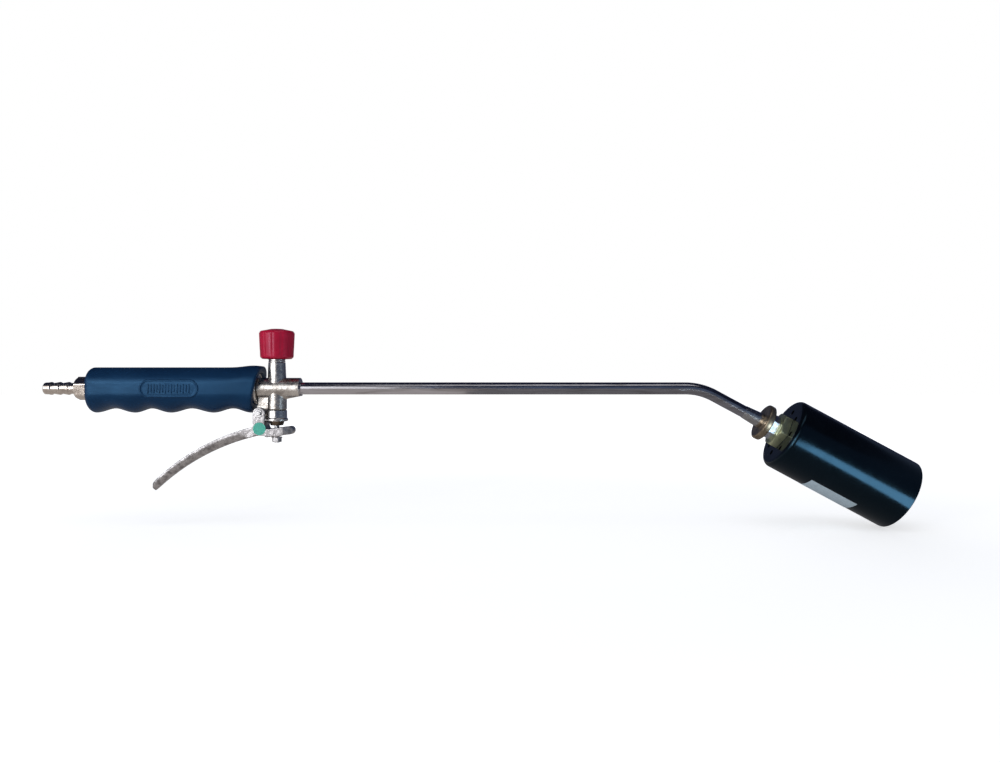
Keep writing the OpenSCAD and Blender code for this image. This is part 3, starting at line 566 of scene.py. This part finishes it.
BARB_PITCH = 7.2
LAND = 0.8
CONE = BARB_PITCH * 0.62
TAIL_TIP = -12.8
TAIL_BORE = 2.5
NECK_R = 4.5
LAND_R = 5.3
TAIL_END = 14.6
tail_points = [(TAIL_TIP, TAIL_BORE, 0.2), (TAIL_TIP, 4.85, 1.6)]
for at in (-BARB_PITCH, 0.0, BARB_PITCH):
    if at > -BARB_PITCH:
        tail_points.append((at - LAND / 2 - CONE, NECK_R, 0.8))
    else:
        tail_points.append((TAIL_TIP + 3.2, 4.9, 0.6))
    tail_points += [
        (at - LAND / 2, LAND_R, 0.35), (at + LAND / 2, LAND_R, 0.3), (at + LAND / 2 + 0.7, NECK_R, 0.5),
    ]
tail_points += [(TAIL_END, NECK_R, 0.3), (TAIL_END, TAIL_BORE, 0.0)]
barbs = turned("tail_barbs", tail_points, tail_nickel, ROW, count=88)
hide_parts("hose_tail")
tail_hex = hexagon("tail_hex", 17.0, 14.3, 26.35, 2.0, 0.5, 4.2, math.radians(8), tail_nickel, ROW,
                   edge=0.35)
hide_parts("hose_tail")

# ---- Handle ----

HANDLE_X = handle_low[0]
HANDLE_L = 137.0
HANDLE_TOP = handle_high[2]
HANDLE_LOW = handle_low[2]
HANDLE_HALF = 16.5
TOP_ROUND = 14.0
LEAN_L = 36.0
FRONT_R = 1.4
FLANGE_SEAT_R = 13.7
POCKET_R = 13.25
TUBE_BORE_R = 6.2
MID_Z = (HANDLE_TOP + HANDLE_LOW) / 2
LEAN = math.tan(math.radians(12.5))
END_R = 4.2
GUARD = 1.5
GROOVE_DEEP = 3.4
CRESTS = (3.3, 35.6, 65.2, 100.3, 135.3)
GROOVES = (19.7, 49.5, 82.3, 118.0)
TURNS = sorted([(c, 0.0) for c in CRESTS] + [(g, GROOVE_DEEP) for g in GROOVES])


def handle_bottom(s):
    """Lowest point of the handle at s along it: a wave through the crests and grooves."""
    for (s0, rise0), (s1, rise1) in zip(TURNS, TURNS[1:]):
        if s0 <= s <= s1:
            share = 0.5 - 0.5 * math.cos(math.pi * (s - s0) / (s1 - s0))
            return HANDLE_LOW + rise0 + (rise1 - rise0) * share
    return HANDLE_LOW


def handle_ring(s, inset, steps=30):
    """Section outline as (y, z), counter-clockwise from the lowest point."""
    top_r = TOP_ROUND
    low_r = HANDLE_HALF
    low_c = HANDLE_LOW + low_r
    squeeze = (low_c - handle_bottom(s)) / low_r

    def lower(angle):
        y = math.sin(angle) * (low_r - inset)
        z = -math.cos(angle) * (low_r - inset)
        return y, low_c + z * squeeze

    guard = math.exp(-((s - HANDLE_L + 7.0) / 9.0) ** 2) * GUARD
    corner = (HANDLE_HALF - top_r, HANDLE_TOP - top_r + guard)
    half = []
    for k in range(steps + 1):
        half.append(lower(math.pi / 2 * k / steps))
    half.append((HANDLE_HALF - inset, low_c + (corner[1] - low_c) * 0.35))
    half.append((HANDLE_HALF - inset, low_c + (corner[1] - low_c) * 0.7))
    for k in range(steps + 1):
        a = math.pi / 2 * k / steps
        half.append((corner[0] + math.cos(a) * (top_r - inset), corner[1] + math.sin(a) * (top_r - inset)))
    return half + [(-y, z) for y, z in reversed(half[1:])]


verts, rings = [], []


def handle_station(s, points, push=None):
    ring = []
    for y, z in points:
        lean = max(0.0, s - (HANDLE_L - LEAN_L)) / LEAN_L
        x = HANDLE_X + s + min(lean, 1.0) * (z - MID_Z) * LEAN
        if push is not None:
            x = push
        ring.append(len(verts))
        verts.append((x, y, z))
    rings.append(ring)


def towards(points, centre, radius, amount):
    out = []
    for y, z in points:
        a = math.atan2(z - centre, y)
        ty, tz = radius * math.cos(a), centre + radius * math.sin(a)
        out.append((y + (ty - y) * amount, z + (tz - z) * amount))
    return out


back = handle_ring(0.0, END_R)
for amount in (1.0, 0.85, 0.5, 0.2):
    handle_station(0.0, towards(back, 0.0, 8.6, amount))
for k in range(11):
    a = math.pi / 2 * k / 10
    s = END_R * (1 - math.cos(a))
    handle_station(s, handle_ring(s, END_R * (1 - math.sin(a))))
steps = 170
for k in range(1, steps + 1):
    s = END_R + (HANDLE_L - END_R - FRONT_R) * k / steps
    handle_station(s, handle_ring(s, 0.0))
for k in range(1, 8):
    a = math.pi / 2 * k / 7
    s = HANDLE_L - FRONT_R + FRONT_R * math.sin(a)
    handle_station(s, handle_ring(s, FRONT_R * (1 - math.cos(a))))
front = handle_ring(HANDLE_L, FRONT_R)
for amount in (0.3, 0.6, 0.85, 1.0):
    handle_station(HANDLE_L, towards(front, 0.0, FLANGE_SEAT_R, amount))
pocket = towards(front, 0.0, POCKET_R, 1.0)
bore = towards(front, 0.0, TUBE_BORE_R, 1.0)
pocket_x = flange_low[0] - 0.1
handle_station(HANDLE_L - 0.35, pocket)
handle_station(0, pocket, push=pocket_x)
handle_station(0, bore, push=pocket_x)
handle_station(0, bore, push=HANDLE_X + 60.0)
grip = make("handle_shell", verts, loft(rings), handle_blue, "torch", ROW, 50.0)
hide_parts("handle_grip")


def stadium(half_l, half_h, n=18):
    straight = half_l - half_h
    out = []
    for sign in (1, -1):
        for k in range(n + 1):
            a = -math.pi / 2 + math.pi * k / n
            out.append((sign * (straight + half_h * math.cos(a)), sign * half_h * math.sin(a)))
    return out


def side_depth(z):
    """How far the handle's side lies from the middle plane at height z."""
    low_c = HANDLE_LOW + HANDLE_HALF
    if z < low_c:
        return math.sqrt(max(HANDLE_HALF ** 2 - (z - low_c) ** 2, 1.0))
    corner = HANDLE_TOP - TOP_ROUND
    if z > corner:
        return HANDLE_HALF - TOP_ROUND + math.sqrt(max(TOP_ROUND ** 2 - (z - corner) ** 2, 1.0))
    return HANDLE_HALF


BADGE_X = HANDLE_X + 69.4
BADGE_HALF_L = 23.9
BADGE_HALF_H = 7.4
FIELD_INSET = 1.75
FIELD_HEIGHT = 0.12
BADGE_REACH = HANDLE_HALF + 0.49
RIB_HALF_W = 0.55
RIB_PITCH = 2.35
for side, label in ((-1, "near"), (1, "far")):
    verts, rings = [], []
    bands = [(0.0, -0.4), (0.0, 0.22), (0.25, 0.42), (0.7, 0.48), (1.15, 0.42), (1.45, 0.20),
             (FIELD_INSET, FIELD_HEIGHT)]
    for inset, height in bands:
        ring = []
        for u, v in stadium(BADGE_HALF_L - inset, BADGE_HALF_H - inset):
            depth = min(side_depth(v) + height, BADGE_REACH)
            ring.append(len(verts))
            verts.append((BADGE_X + u, side * depth, v))
        rings.append(ring)
    rows = 12
    inner = stadium(BADGE_HALF_L - FIELD_INSET, BADGE_HALF_H - FIELD_INSET)
    for step in range(1, rows):
        share = 1 - step / rows
        ring = []
        for u, v in inner:
            depth = min(side_depth(v * share) + FIELD_HEIGHT, BADGE_REACH)
            ring.append(len(verts))
            verts.append((BADGE_X + u * share, side * depth, v * share))
        rings.append(ring)
    faces = loft(rings, ends=False) + [tuple(rings[-1])]
    badge = make("badge_" + label, verts, faces, handle_blue, "torch", ROW, 60.0)
    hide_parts("handle_grip")
    verts, faces = [], []
    count = 15
    for i in range(count):
        rib_x = BADGE_X + (i - (count - 1) / 2) * RIB_PITCH
        reach = 3.9 if i % 2 == 0 else 3.1
        n = 20
        outline = []
        for k in range(n):
            a = 2 * math.pi * k / n
            end = reach - RIB_HALF_W if math.sin(a) > 0 else RIB_HALF_W - reach
            outline.append((RIB_HALF_W * math.cos(a), end + RIB_HALF_W * math.sin(a)))
        rings = []
        levels = ((-0.2, 0.49, 1.0, 1.0), (0.30, 0.45, 1.0, 1.0), (0.42, 0.48, 0.6, 0.96))
        for height, limit, narrow, short in levels:
            ring = []
            for u, v in outline:
                depth = min(side_depth(v) + height, HANDLE_HALF + limit)
                ring.append(len(verts))
                verts.append((rib_x + u * narrow, side * depth, v * short))
            rings.append(ring)
        faces += loft(rings, ends=False) + [tuple(rings[-1])]
    ribs = make("badge_ribs_" + label, verts, faces, handle_blue, "torch", ROW, 60.0)
    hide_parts("handle_grip")

# ---- Disc at the handle's front ----

x0, x1 = flange_low[0], flange_high[0]
disc = turned("front_disc", [
    (x0, 6.05, 0), (x0, 12.95, 0.5), (x1 - 0.1, 12.95, 0.7), (x1, 11.9, 0.4),
    (x1 - 0.35, 11.2, 0.4), (x1 - 0.35, 6.05, 0.0),
], cast_nickel, ROW, count=120)
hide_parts("handle_flange")

# ---- Valve ----

valve = cast_copy("valve_casting", "valve_body", 0.22, 5, cast_nickel, "torch")

gland = turned("gland_nut_turned", [
    (21.7, 2.6, 0), (21.7, 6.8, 0.3), (22.6, 6.8, 0.2), (22.8, 6.45, 0.15), (23.1, 6.45, 0.15),
    (23.3, 6.8, 0.2), (24.15, 6.75, 0.3), (24.7, 6.1, 0.2), (24.7, 2.6, 0),
], turned_nickel, UPRIGHT)
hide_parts("gland_nut")

# ---- Knob ----

FOOT = knob_low[2]
TOP = knob_high[2]
foot_r, top_r = 13.25, 14.25
CROWN_H = 1.6
LOBES = 12
LOBE_DIP = 0.34
side_top = TOP - CROWN_H - 2.0


def knob_skin(x, r, t):
    """Shallow grooves between lobes, on the outer side only."""
    if r <= foot_r - 0.8 or x < FOOT + 0.5:
        return r
    rise = min(1.0, (x - FOOT - 0.5) / 3.0) * min(1.0, max(0.0, (TOP - CROWN_H - x) / 3.0))
    return r - LOBE_DIP * (1 - abs(math.sin(LOBES * t / 2))) ** 2.2 * rise


knob_points = [
    (TOP - 2.4, 0.0, 0), (TOP - 2.4, 4.2, 0.15), (TOP - 0.15, 4.2, 0.2), (TOP, 4.9, 0.3),
    (side_top + 1.9, top_r - 1.1, 1.6), (side_top, top_r, 0.9), (side_top - 3.0, 14.1, 0),
    (side_top - 7.0, 13.93, 0), (side_top - 11.0, 13.76, 0), (FOOT + 6.0, 13.5, 0), (FOOT + 3.2, 13.4, 0),
    (FOOT + 1.4, foot_r, 0.9), (FOOT, foot_r - 1.5, 0.9), (FOOT, 11.3, 0.4),
    (FOOT + 13.0, 11.0, 1.0), (FOOT + 13.0, 5.2, 0.8), (FOOT + 3.2, 5.0, 0.4), (FOOT + 3.2, 2.55, 0),
]
verts, faces = revolve(rounded(knob_points, False, 6), False, 196, knob_skin)
knob = make("knob_cap", verts, faces, knob_red, "knob", UPRIGHT, 40.0)
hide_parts("control_knob")

# ---- Trigger valve below the body ----

BONNET_TOP = -18.0
cap = turned("bonnet_turned", [
    (BONNET_TOP, 2.2, 0), (BONNET_TOP, 8.1, 0.35), (-24.2, 8.15, 0.5), (-24.7, 8.6, 0.25),
    (-25.2, 8.95, 0.3), (-26.5, 8.95, 0.35), (-27.0, 8.4, 0.2), (-27.0, 2.2, 0),
], turned_nickel, UPRIGHT, closed=True)
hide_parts("bonnet")
# The gland bush's very dark brass is painted shade under the bonnet
bush = turned("gland_bush_turned", [
    (-26.9, 2.15, 0), (-26.9, 5.95, 0.1), (-27.4, 5.95, 0.2), (-30.2, 5.05, 0.35),
    (-30.4, 4.6, 0.2), (-30.4, 2.15, 0.2),
], bush_brass_painted_shade, UPRIGHT)
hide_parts("gland_bush")
washer = turned("stem_washer_turned", [
    (-40.7, 2.05, 0.1), (-40.7, 4.45, 0.2), (-39.9, 4.45, 0.2), (-39.9, 2.05, 0.1),
], plain_steel, UPRIGHT, body="stem", count=64)
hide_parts("stem_washer")
nut = hexagon("stem_nut_turned", 7.0, -44.2, -40.72, 0.7, 0.3, 2.0, 0.0, plain_steel, UPRIGHT,
              body="stem", edge=0.2, count=96)
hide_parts("stem_nut")

# ---- Lever ----

lever = cast_copy("lever_casting", "lever", 0.24, 22, lever_metal, "lever")


TIP_L = 9.0


def crown_arm(obj, first_x, full_x, crown):
    """Rounds the arm's sides, more towards the lower edge, and brings the tip's lower corner in."""
    tip_x = min(vert.co.x for vert in obj.data.vertices) / MM
    spans = {}
    for vert in obj.data.vertices:
        column = round(vert.co.x / MM)
        low, high = spans.get(column, (vert.co.z, vert.co.z))
        spans[column] = (min(low, vert.co.z), max(high, vert.co.z))
    for vert in obj.data.vertices:
        at = vert.co.x / MM
        if at > first_x:
            continue
        column = math.floor(at)
        share = at - column
        low_a, high_a = spans.get(column, spans[round(at)])
        low_b, high_b = spans.get(column + 1, spans[round(at)])
        low = low_a + (low_b - low_a) * share
        high = high_a + (high_b - high_a) * share
        u = (vert.co.z - (low + high) / 2) / max((high - low) / 2, 1e-4)
        strength = min(1.0, (first_x - at) / (first_x - full_x))
        below = min(max(0.55 - u, 0.0), 1.4)
        vert.co.y *= 1 - crown * below * below * strength
        near_tip = max(0.0, 1 - (at - tip_x) / TIP_L)
        lift = near_tip * near_tip * max(0.0, -u)
        vert.co.x += lift * 2.2 * MM
        vert.co.z += lift * 2.0 * MM


crown_arm(lever, PIVOT_X - 8.0, PIVOT_X - 22.0, 0.24)
PIN = frame_matrix((PIVOT_X, 0, PIVOT_Z), (0, -1, 0), (1, 0, 0))
pin = turned("pin_turned", [
    (-9.2, 0.0, 0), (-9.2, 2.6, 0.3), (-8.15, 3.1, 0.25), (-8.1, 2.0, 0.05),
    (8.95, 2.0, 0.1), (9.2, 1.65, 0.15), (9.2, 0.0, 0),
], plain_steel, PIN, closed=False, count=56)
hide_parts("lever_pin")

verts, rings = [], []
for a in (math.radians(degrees) for degrees in range(28, 333, 5)):
    ring = []
    for r, x in ((2.0, 8.12), (3.15, 8.12), (3.2, 8.3), (3.2, 8.7), (3.1, 8.88), (2.0, 8.88)):
        ring.append(len(verts))
        verts.append((x, r * math.cos(a), r * math.sin(a)))
    rings.append(ring)
clip = make("pin_clip_ring", verts, loft(rings), plain_steel, "torch", PIN, 40.0)
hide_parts("pin_clip")

dot_low, dot_high = box_mm("lever_sticker")
DOT_CENTRE = ((dot_low[0] + dot_high[0]) / 2, 0, (dot_low[2] + dot_high[2]) / 2)
DOT = frame_matrix(DOT_CENTRE, (0, -1, 0), (1, 0, 0))
dot = turned("lever_dot", [
    (7.8, 0.0, 0), (7.8, 5.15, 0), (7.88, 5.18, 0.03), (7.94, 5.05, 0.05), (7.95, 2.5, 0), (7.95, 0.0, 0),
], sticker, DOT, body="lever", closed=False, count=72)
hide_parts("lever_sticker")

# ---- Lance ----

path = []
start_x = VALVE_X + 11.4
run_end = BEND_X - BEND_R * math.tan(BEND_TURN / 2)
for k in range(101):
    path.append(Vector((start_x + (run_end - start_x) * k / 100, 0, 0)))
for k in range(1, 25):
    a = BEND_TURN * k / 24
    path.append(Vector((run_end + BEND_R * math.sin(a), 0, -BEND_R * (1 - math.cos(a)))))
tangent = BEND_R * math.tan(BEND_TURN / 2)
for k in range(1, 13):
    path.append(BURNER @ Vector((tangent + (59.8 - tangent) * k / 12, 0, 0)))
verts, faces = tube_along(path, 5.0)
lance = make("lance_chrome", verts, faces, chrome, "torch", ROW, 50.0)
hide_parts("lance_tube")

# ---- Neck ----

ferrule = turned("ferrule_turned", [
    (40.6, 4.95, 0), (40.6, 5.2, 0.1), (42.0, 5.35, 0.3), (52.8, 6.1, 0.8),
    (53.6, 6.15, 0.3), (56.4, 6.15, 0.1), (56.4, 4.95, 0),
], turned_nickel, BURNER, count=88)
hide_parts("tube_ferrule")
collar = turned("collar_turned", [
    (56.5, 5.2, 0), (56.5, 13.9, 0.5), (57.3, 15.1, 0.9), (59.0, 15.25, 1.0), (61.4, 15.1, 0.9),
    (62.3, 13.9, 0.5), (62.3, 5.2, 0),
], brown_brass, BURNER, count=144, steps=7)
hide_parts("neck_collar")
mixer = hexagon("mixer_hex", 18.0, 62.3, 69.5, 0.9, 0.9, 5.6, math.radians(4), zinc_white, BURNER,
                edge=0.45)
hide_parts("mixer_body")
shank = turned("mixer_shank", [
    (69.3, 5.6, 0), (69.3, 8.0, 0), (84.9, 8.0, 0.3), (85.4, 7.5, 0.2), (85.4, 5.6, 0),
], zinc_white, BURNER)
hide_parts("mixer_body")
LOCK_FLATS = 27.0
lock = hexagon("lock_nut_hex", LOCK_FLATS, 69.5, 76.5, 2.4, 0.7, 8.0, math.radians(37), zinc_yellow, BURNER,
               edge=0.35, count=192)
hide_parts("lock_nut")

# ---- Bell ----

BACK = 76.5
MOUTH = 184.3
LIP = MOUTH - 0.05
BELL_R = 30.0
WALL = 1.2
INNER_R = BELL_R - WALL
BELL_HOLE_R = 8.15
AIR_HOLE_R = 2.2
bell_points = [
    (BACK, BELL_HOLE_R, 0), (BACK, 22.0, 0), (BACK, BELL_R, 8.0), (BACK + 60.0, BELL_R, 0),
    (LIP, BELL_R, 0.55),
    (LIP, INNER_R, 0.45), (BACK + 60.0, INNER_R, 0), (BACK + WALL, INNER_R, 6.8), (BACK + WALL, 22.0, 0),
    (BACK + WALL, BELL_HOLE_R, 0),
]
verts, faces = revolve(rounded(bell_points, True, 10), True, 192)
bell = make("bell_shell", verts, faces, bell_black, "torch", BURNER, 40.0)
cutters = bpy.data.meshes.new("air_holes")
bm = bmesh.new()
ring_r = LOCK_FLATS / math.sqrt(3) + AIR_HOLE_R + 0.9
for i in range(8):
    a = 2 * math.pi * i / 8
    spot = BURNER @ Matrix.Translation((BACK + WALL / 2, ring_r * math.sin(a), ring_r * math.cos(a)))
    spot = spot @ Matrix.Rotation(math.pi / 2, 4, "Y")
    spot.translation *= MM
    bmesh.ops.create_cone(bm, cap_ends=True, segments=40, radius1=AIR_HOLE_R * MM, radius2=AIR_HOLE_R * MM,
                          depth=6 * MM, matrix=spot)
bm.to_mesh(cutters)
bm.free()
cutter = bpy.data.objects.new("air_holes", cutters)
bpy.context.scene.collection.objects.link(cutter)
drill = bell.modifiers.new("Holes", "BOOLEAN")
drill.operation = "DIFFERENCE"
drill.solver = "EXACT"
drill.object = cutter
evaluated = bell.evaluated_get(bpy.context.evaluated_depsgraph_get())
drilled = bpy.data.meshes.new_from_object(evaluated)
bell.modifiers.clear()
bell.data = drilled
drilled.shade_smooth()
drilled.set_sharp_from_angle(angle=math.radians(40))
bpy.data.objects.remove(cutter)
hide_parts("burner_bell")

# The label is wrapped under the bell
verts, faces = [], []
LABEL_X = BACK + 33.0
LABEL_L = 41.4
LABEL_LOW = math.radians(54.0)
LABEL_TURN = 25.0 / BELL_R
along, around = 40, 30


def label_point(u, v, lift):
    a = LABEL_LOW + LABEL_TURN * v
    r = BELL_R + lift
    return (LABEL_X + LABEL_L * u, -r * math.cos(a), -r * math.sin(a))


top_ids, low_ids = {}, {}
for i in range(along + 1):
    for j in range(around + 1):
        u, v = i / along, j / around
        lift = 0.10 + 0.03 * noise.noise(Vector((u * 6, v * 4, 1.7)))
        top_ids[i, j] = len(verts)
        verts.append(label_point(u, v, max(lift, 0.06)))
for i in range(along + 1):
    for j in range(around + 1):
        low_ids[i, j] = len(verts)
        verts.append(label_point(i / along, j / around, -0.02))
for i in range(along):
    for j in range(around):
        faces.append((top_ids[i, j], top_ids[i + 1, j], top_ids[i + 1, j + 1], top_ids[i, j + 1]))
        faces.append((low_ids[i, j], low_ids[i, j + 1], low_ids[i + 1, j + 1], low_ids[i + 1, j]))
for i in range(along):
    faces.append((top_ids[i, 0], low_ids[i, 0], low_ids[i + 1, 0], top_ids[i + 1, 0]))
    faces.append((top_ids[i, around], top_ids[i + 1, around], low_ids[i + 1, around], low_ids[i, around]))
for j in range(around):
    faces.append((top_ids[0, j], top_ids[0, j + 1], low_ids[0, j + 1], low_ids[0, j]))
    faces.append((top_ids[along, j], low_ids[along, j], low_ids[along, j + 1], top_ids[along, j + 1]))
label = make("bell_label_paper", verts, faces, label_pale, "torch", BURNER, 40.0)
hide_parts("bell_label")

# ---- Return spring, kept as its own mesh copy; on the real torch it shortens as the stem opens the valve ----

spring = cast_copy("spring_coil", "return_spring", 0.0, 0, spring_steel, "torch")
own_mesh(spring)

# ---- CAD nodes that keep their shape get finished materials ----

KEPT = {
    "tail_seal": fibre, "inlet_tube": plain_steel, "spindle_packing": rubber, "packing_washer": new_brass,
    "regulator_spindle": plain_steel, "knob_screw": plain_steel, "poppet": new_brass, "poppet_seal": rubber,
    "valve_stem": plain_steel, "bonnet_gasket": rubber, "stem_o_ring": rubber, "injector_jet": new_brass,
    "backing_washer": zinc_white, "burner_tube": new_brass, "flame_holder": heat_steel,
}
for node, material in KEPT.items():
    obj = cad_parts[node]
    obj.data.materials.clear()
    obj.data.materials.append(material)

# ---- Floor, light and camera ----


def floor_paper(near, far):
    """A pale surface that keeps shadows, but looks white in the background."""
    p = Paint("floor_paper")
    p.put(Base_Color=(0.86, 0.86, 0.86, 1.0), Roughness=0.9, Emission_Color=(1.0, 1.0, 1.0, 1.0))
    p.put(Specular_IOR_Level=0.0)
    rays = p.nodes.new("ShaderNodeLightPath")
    seen = p.math("MAXIMUM", rays.outputs["Is Camera Ray"], rays.outputs["Is Glossy Ray"])
    seen = p.math("MAXIMUM", seen, rays.outputs["Is Transmission Ray"])
    away = p.nodes.new("ShaderNodeVectorMath")
    away.operation = "LENGTH"
    p.link(p.where, away.inputs[0])
    shown = p.span(away.outputs["Value"], near, far, 0.3, 1.6)
    p.link(p.math("MULTIPLY", seen, shown), p.shader.inputs["Emission Strength"])
    return p.material


floor_mesh = bpy.data.meshes.new("floor")
FLOOR_HALF = 6.0
floor_z = cad_low[2] - 0.0002
floor_corners = [(x * FLOOR_HALF, y * FLOOR_HALF, 0) for x, y in ((-1, -1), (1, -1), (1, 1), (-1, 1))]
floor_mesh.from_pydata(floor_corners, [], [(0, 1, 2, 3)])
floor = bpy.data.objects.new("floor", floor_mesh)
floor.location = (0.36, 0.0, floor_z)
bpy.context.scene.collection.objects.link(floor)
floor_mesh.materials.append(floor_paper(0.60, 0.86))
floor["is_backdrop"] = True

world = bpy.data.worlds.new("studio")
bpy.context.scene.world = world
world.use_nodes = True
tree = world.node_tree
tree.nodes.clear()
rays = tree.nodes.new("ShaderNodeLightPath")
seen = tree.nodes.new("ShaderNodeMath")
seen.operation = "MAXIMUM"
tree.links.new(rays.outputs["Is Camera Ray"], seen.inputs[0])
tree.links.new(rays.outputs["Is Transmission Ray"], seen.inputs[1])
both = tree.nodes.new("ShaderNodeMath")
both.operation = "MAXIMUM"
tree.links.new(seen.outputs[0], both.inputs[0])
tree.links.new(rays.outputs["Is Glossy Ray"], both.inputs[1])
fill = tree.nodes.new("ShaderNodeBackground")
fill.inputs["Color"].default_value = (0.82, 0.88, 1.0, 1.0)
fill.inputs["Strength"].default_value = 0.32
white = tree.nodes.new("ShaderNodeBackground")
white.inputs["Color"].default_value = (1.0, 1.0, 1.0, 1.0)
white.inputs["Strength"].default_value = 1.0
choose = tree.nodes.new("ShaderNodeMixShader")
tree.links.new(both.outputs[0], choose.inputs[0])
tree.links.new(fill.outputs[0], choose.inputs[1])
tree.links.new(white.outputs[0], choose.inputs[2])
out = tree.nodes.new("ShaderNodeOutputWorld")
tree.links.new(choose.outputs[0], out.inputs["Surface"])


def lamp(name, place, aim, width, height, power, colour=(1.0, 1.0, 1.0)):
    data = bpy.data.lights.new(name, "AREA")
    data.shape = "RECTANGLE"
    data.size = width
    data.size_y = height
    data.energy = power
    data.color = colour
    obj = bpy.data.objects.new(name, data)
    obj.location = place
    obj.rotation_euler = (Vector(aim) - Vector(place)).to_track_quat("-Z", "Y").to_euler()
    bpy.context.scene.collection.objects.link(obj)
    return obj


def studio_card(name, corners, colour):
    """A studio card, dark or bright, that only reflections see."""
    mesh = bpy.data.meshes.new(name)
    mesh.from_pydata(corners, [], [(0, 1, 2, 3)])
    obj = bpy.data.objects.new(name, mesh)
    bpy.context.scene.collection.objects.link(obj)
    material = bpy.data.materials.new(name)
    material.use_nodes = True
    shader = material.node_tree.nodes["Principled BSDF"]
    shader.inputs["Base Color"].default_value = (0.0, 0.0, 0.0, 1.0)
    shader.inputs["Specular IOR Level"].default_value = 0.0
    shader.inputs["Emission Color"].default_value = (*colour, 1.0)
    shader.inputs["Emission Strength"].default_value = 1.0
    mesh.materials.append(material)
    obj.visible_camera = False
    obj.visible_diffuse = False
    obj.visible_shadow = False
    obj.visible_transmission = False
    obj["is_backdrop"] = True


FRONT = -2.0
BACK_WALL = 2.0
LEFT = -2.2
RIGHT = 2.9
ROOF = 1.5
LOW = -0.113
lamp("front_lamp", (-0.9, -1.3, 0.25), (0.25, 0, 0), 1.5, 1.2, 9.0, (0.95, 0.98, 1.0))
lamp("strip_lamp", (-0.42, -1.0, 0.12), (0.18, 0, 0.02), 0.08, 0.6, 2.8, (1.0, 0.98, 0.98))
lamp("top_lamp", (0.5, -0.5, 1.45), (0.36, 0, 0), 1.2, 0.8, 2.0)
back_lamp = lamp("back_lamp", (0.6, 1.5, 0.45), (0.36, 0, 0), 1.4, 0.8, 5.0)
back_lamp.visible_glossy = False

# Cards round the object that only reflections see: a dim room, open at the front left, and one bright
# card on the floor in front of the bell, which makes the streak along the bell.
NAVY = (0.010, 0.013, 0.030)
DUSK = (0.05, 0.062, 0.11)
SLATE = (0.07, 0.095, 0.15)
STONE = (0.17, 0.165, 0.17)
SAND = (0.42, 0.39, 0.37)
SKY = (4.6, 6.0, 7.0)
MIDDLE = 0.33
GLOW_Z = LOW + 0.0004
SIDES = ((LEFT, FRONT), (RIGHT, FRONT), (RIGHT, BACK_WALL), (LEFT, BACK_WALL))


def wall(name, start, end, colour):
    (x0, y0), (x1, y1) = start, end
    studio_card(name, [(x0, y0, LOW), (x1, y1, LOW), (x1, y1, ROOF), (x0, y0, ROOF)], colour)


def ground(name, x0, x1, y0, y1, lift, colour):
    z = LOW + lift
    studio_card(name, [(x0, y0, z), (x1, y0, z), (x1, y1, z), (x0, y1, z)], colour)


studio_card("card_top", [(x, y, ROOF) for x, y in SIDES], NAVY)
wall("card_back", (LEFT, BACK_WALL), (RIGHT, BACK_WALL), DUSK)
wall("card_left", (LEFT, -0.6), (LEFT, BACK_WALL), DUSK)
wall("card_right", (RIGHT, FRONT), (RIGHT, BACK_WALL), SLATE)
wall("card_front", (0.0, FRONT), (RIGHT, FRONT), SLATE)
ground("card_floor_left", LEFT, MIDDLE, FRONT, BACK_WALL, 0.0, SAND)
ground("card_floor_right", MIDDLE, RIGHT, FRONT, BACK_WALL, 0.0, STONE)
studio_card("card_glow", [
    (0.77, -0.58, GLOW_Z), (0.60, -0.21, GLOW_Z), (0.70, -0.04, GLOW_Z), (0.75, -0.12, GLOW_Z),
], SKY)

camera = bpy.data.cameras.new("camera")
camera.sensor_width = 36.0
camera.lens = 28.8
camera.clip_start = 0.01
camera_obj = bpy.data.objects.new("camera", camera)
camera_obj.location = (0.3625, -0.660, 0.0061)
camera_obj.rotation_euler = (math.radians(90), 0, 0)
bpy.context.scene.collection.objects.link(camera_obj)
bpy.context.scene.camera = camera_obj
bpy.context.scene.view_settings.view_transform = "Standard"
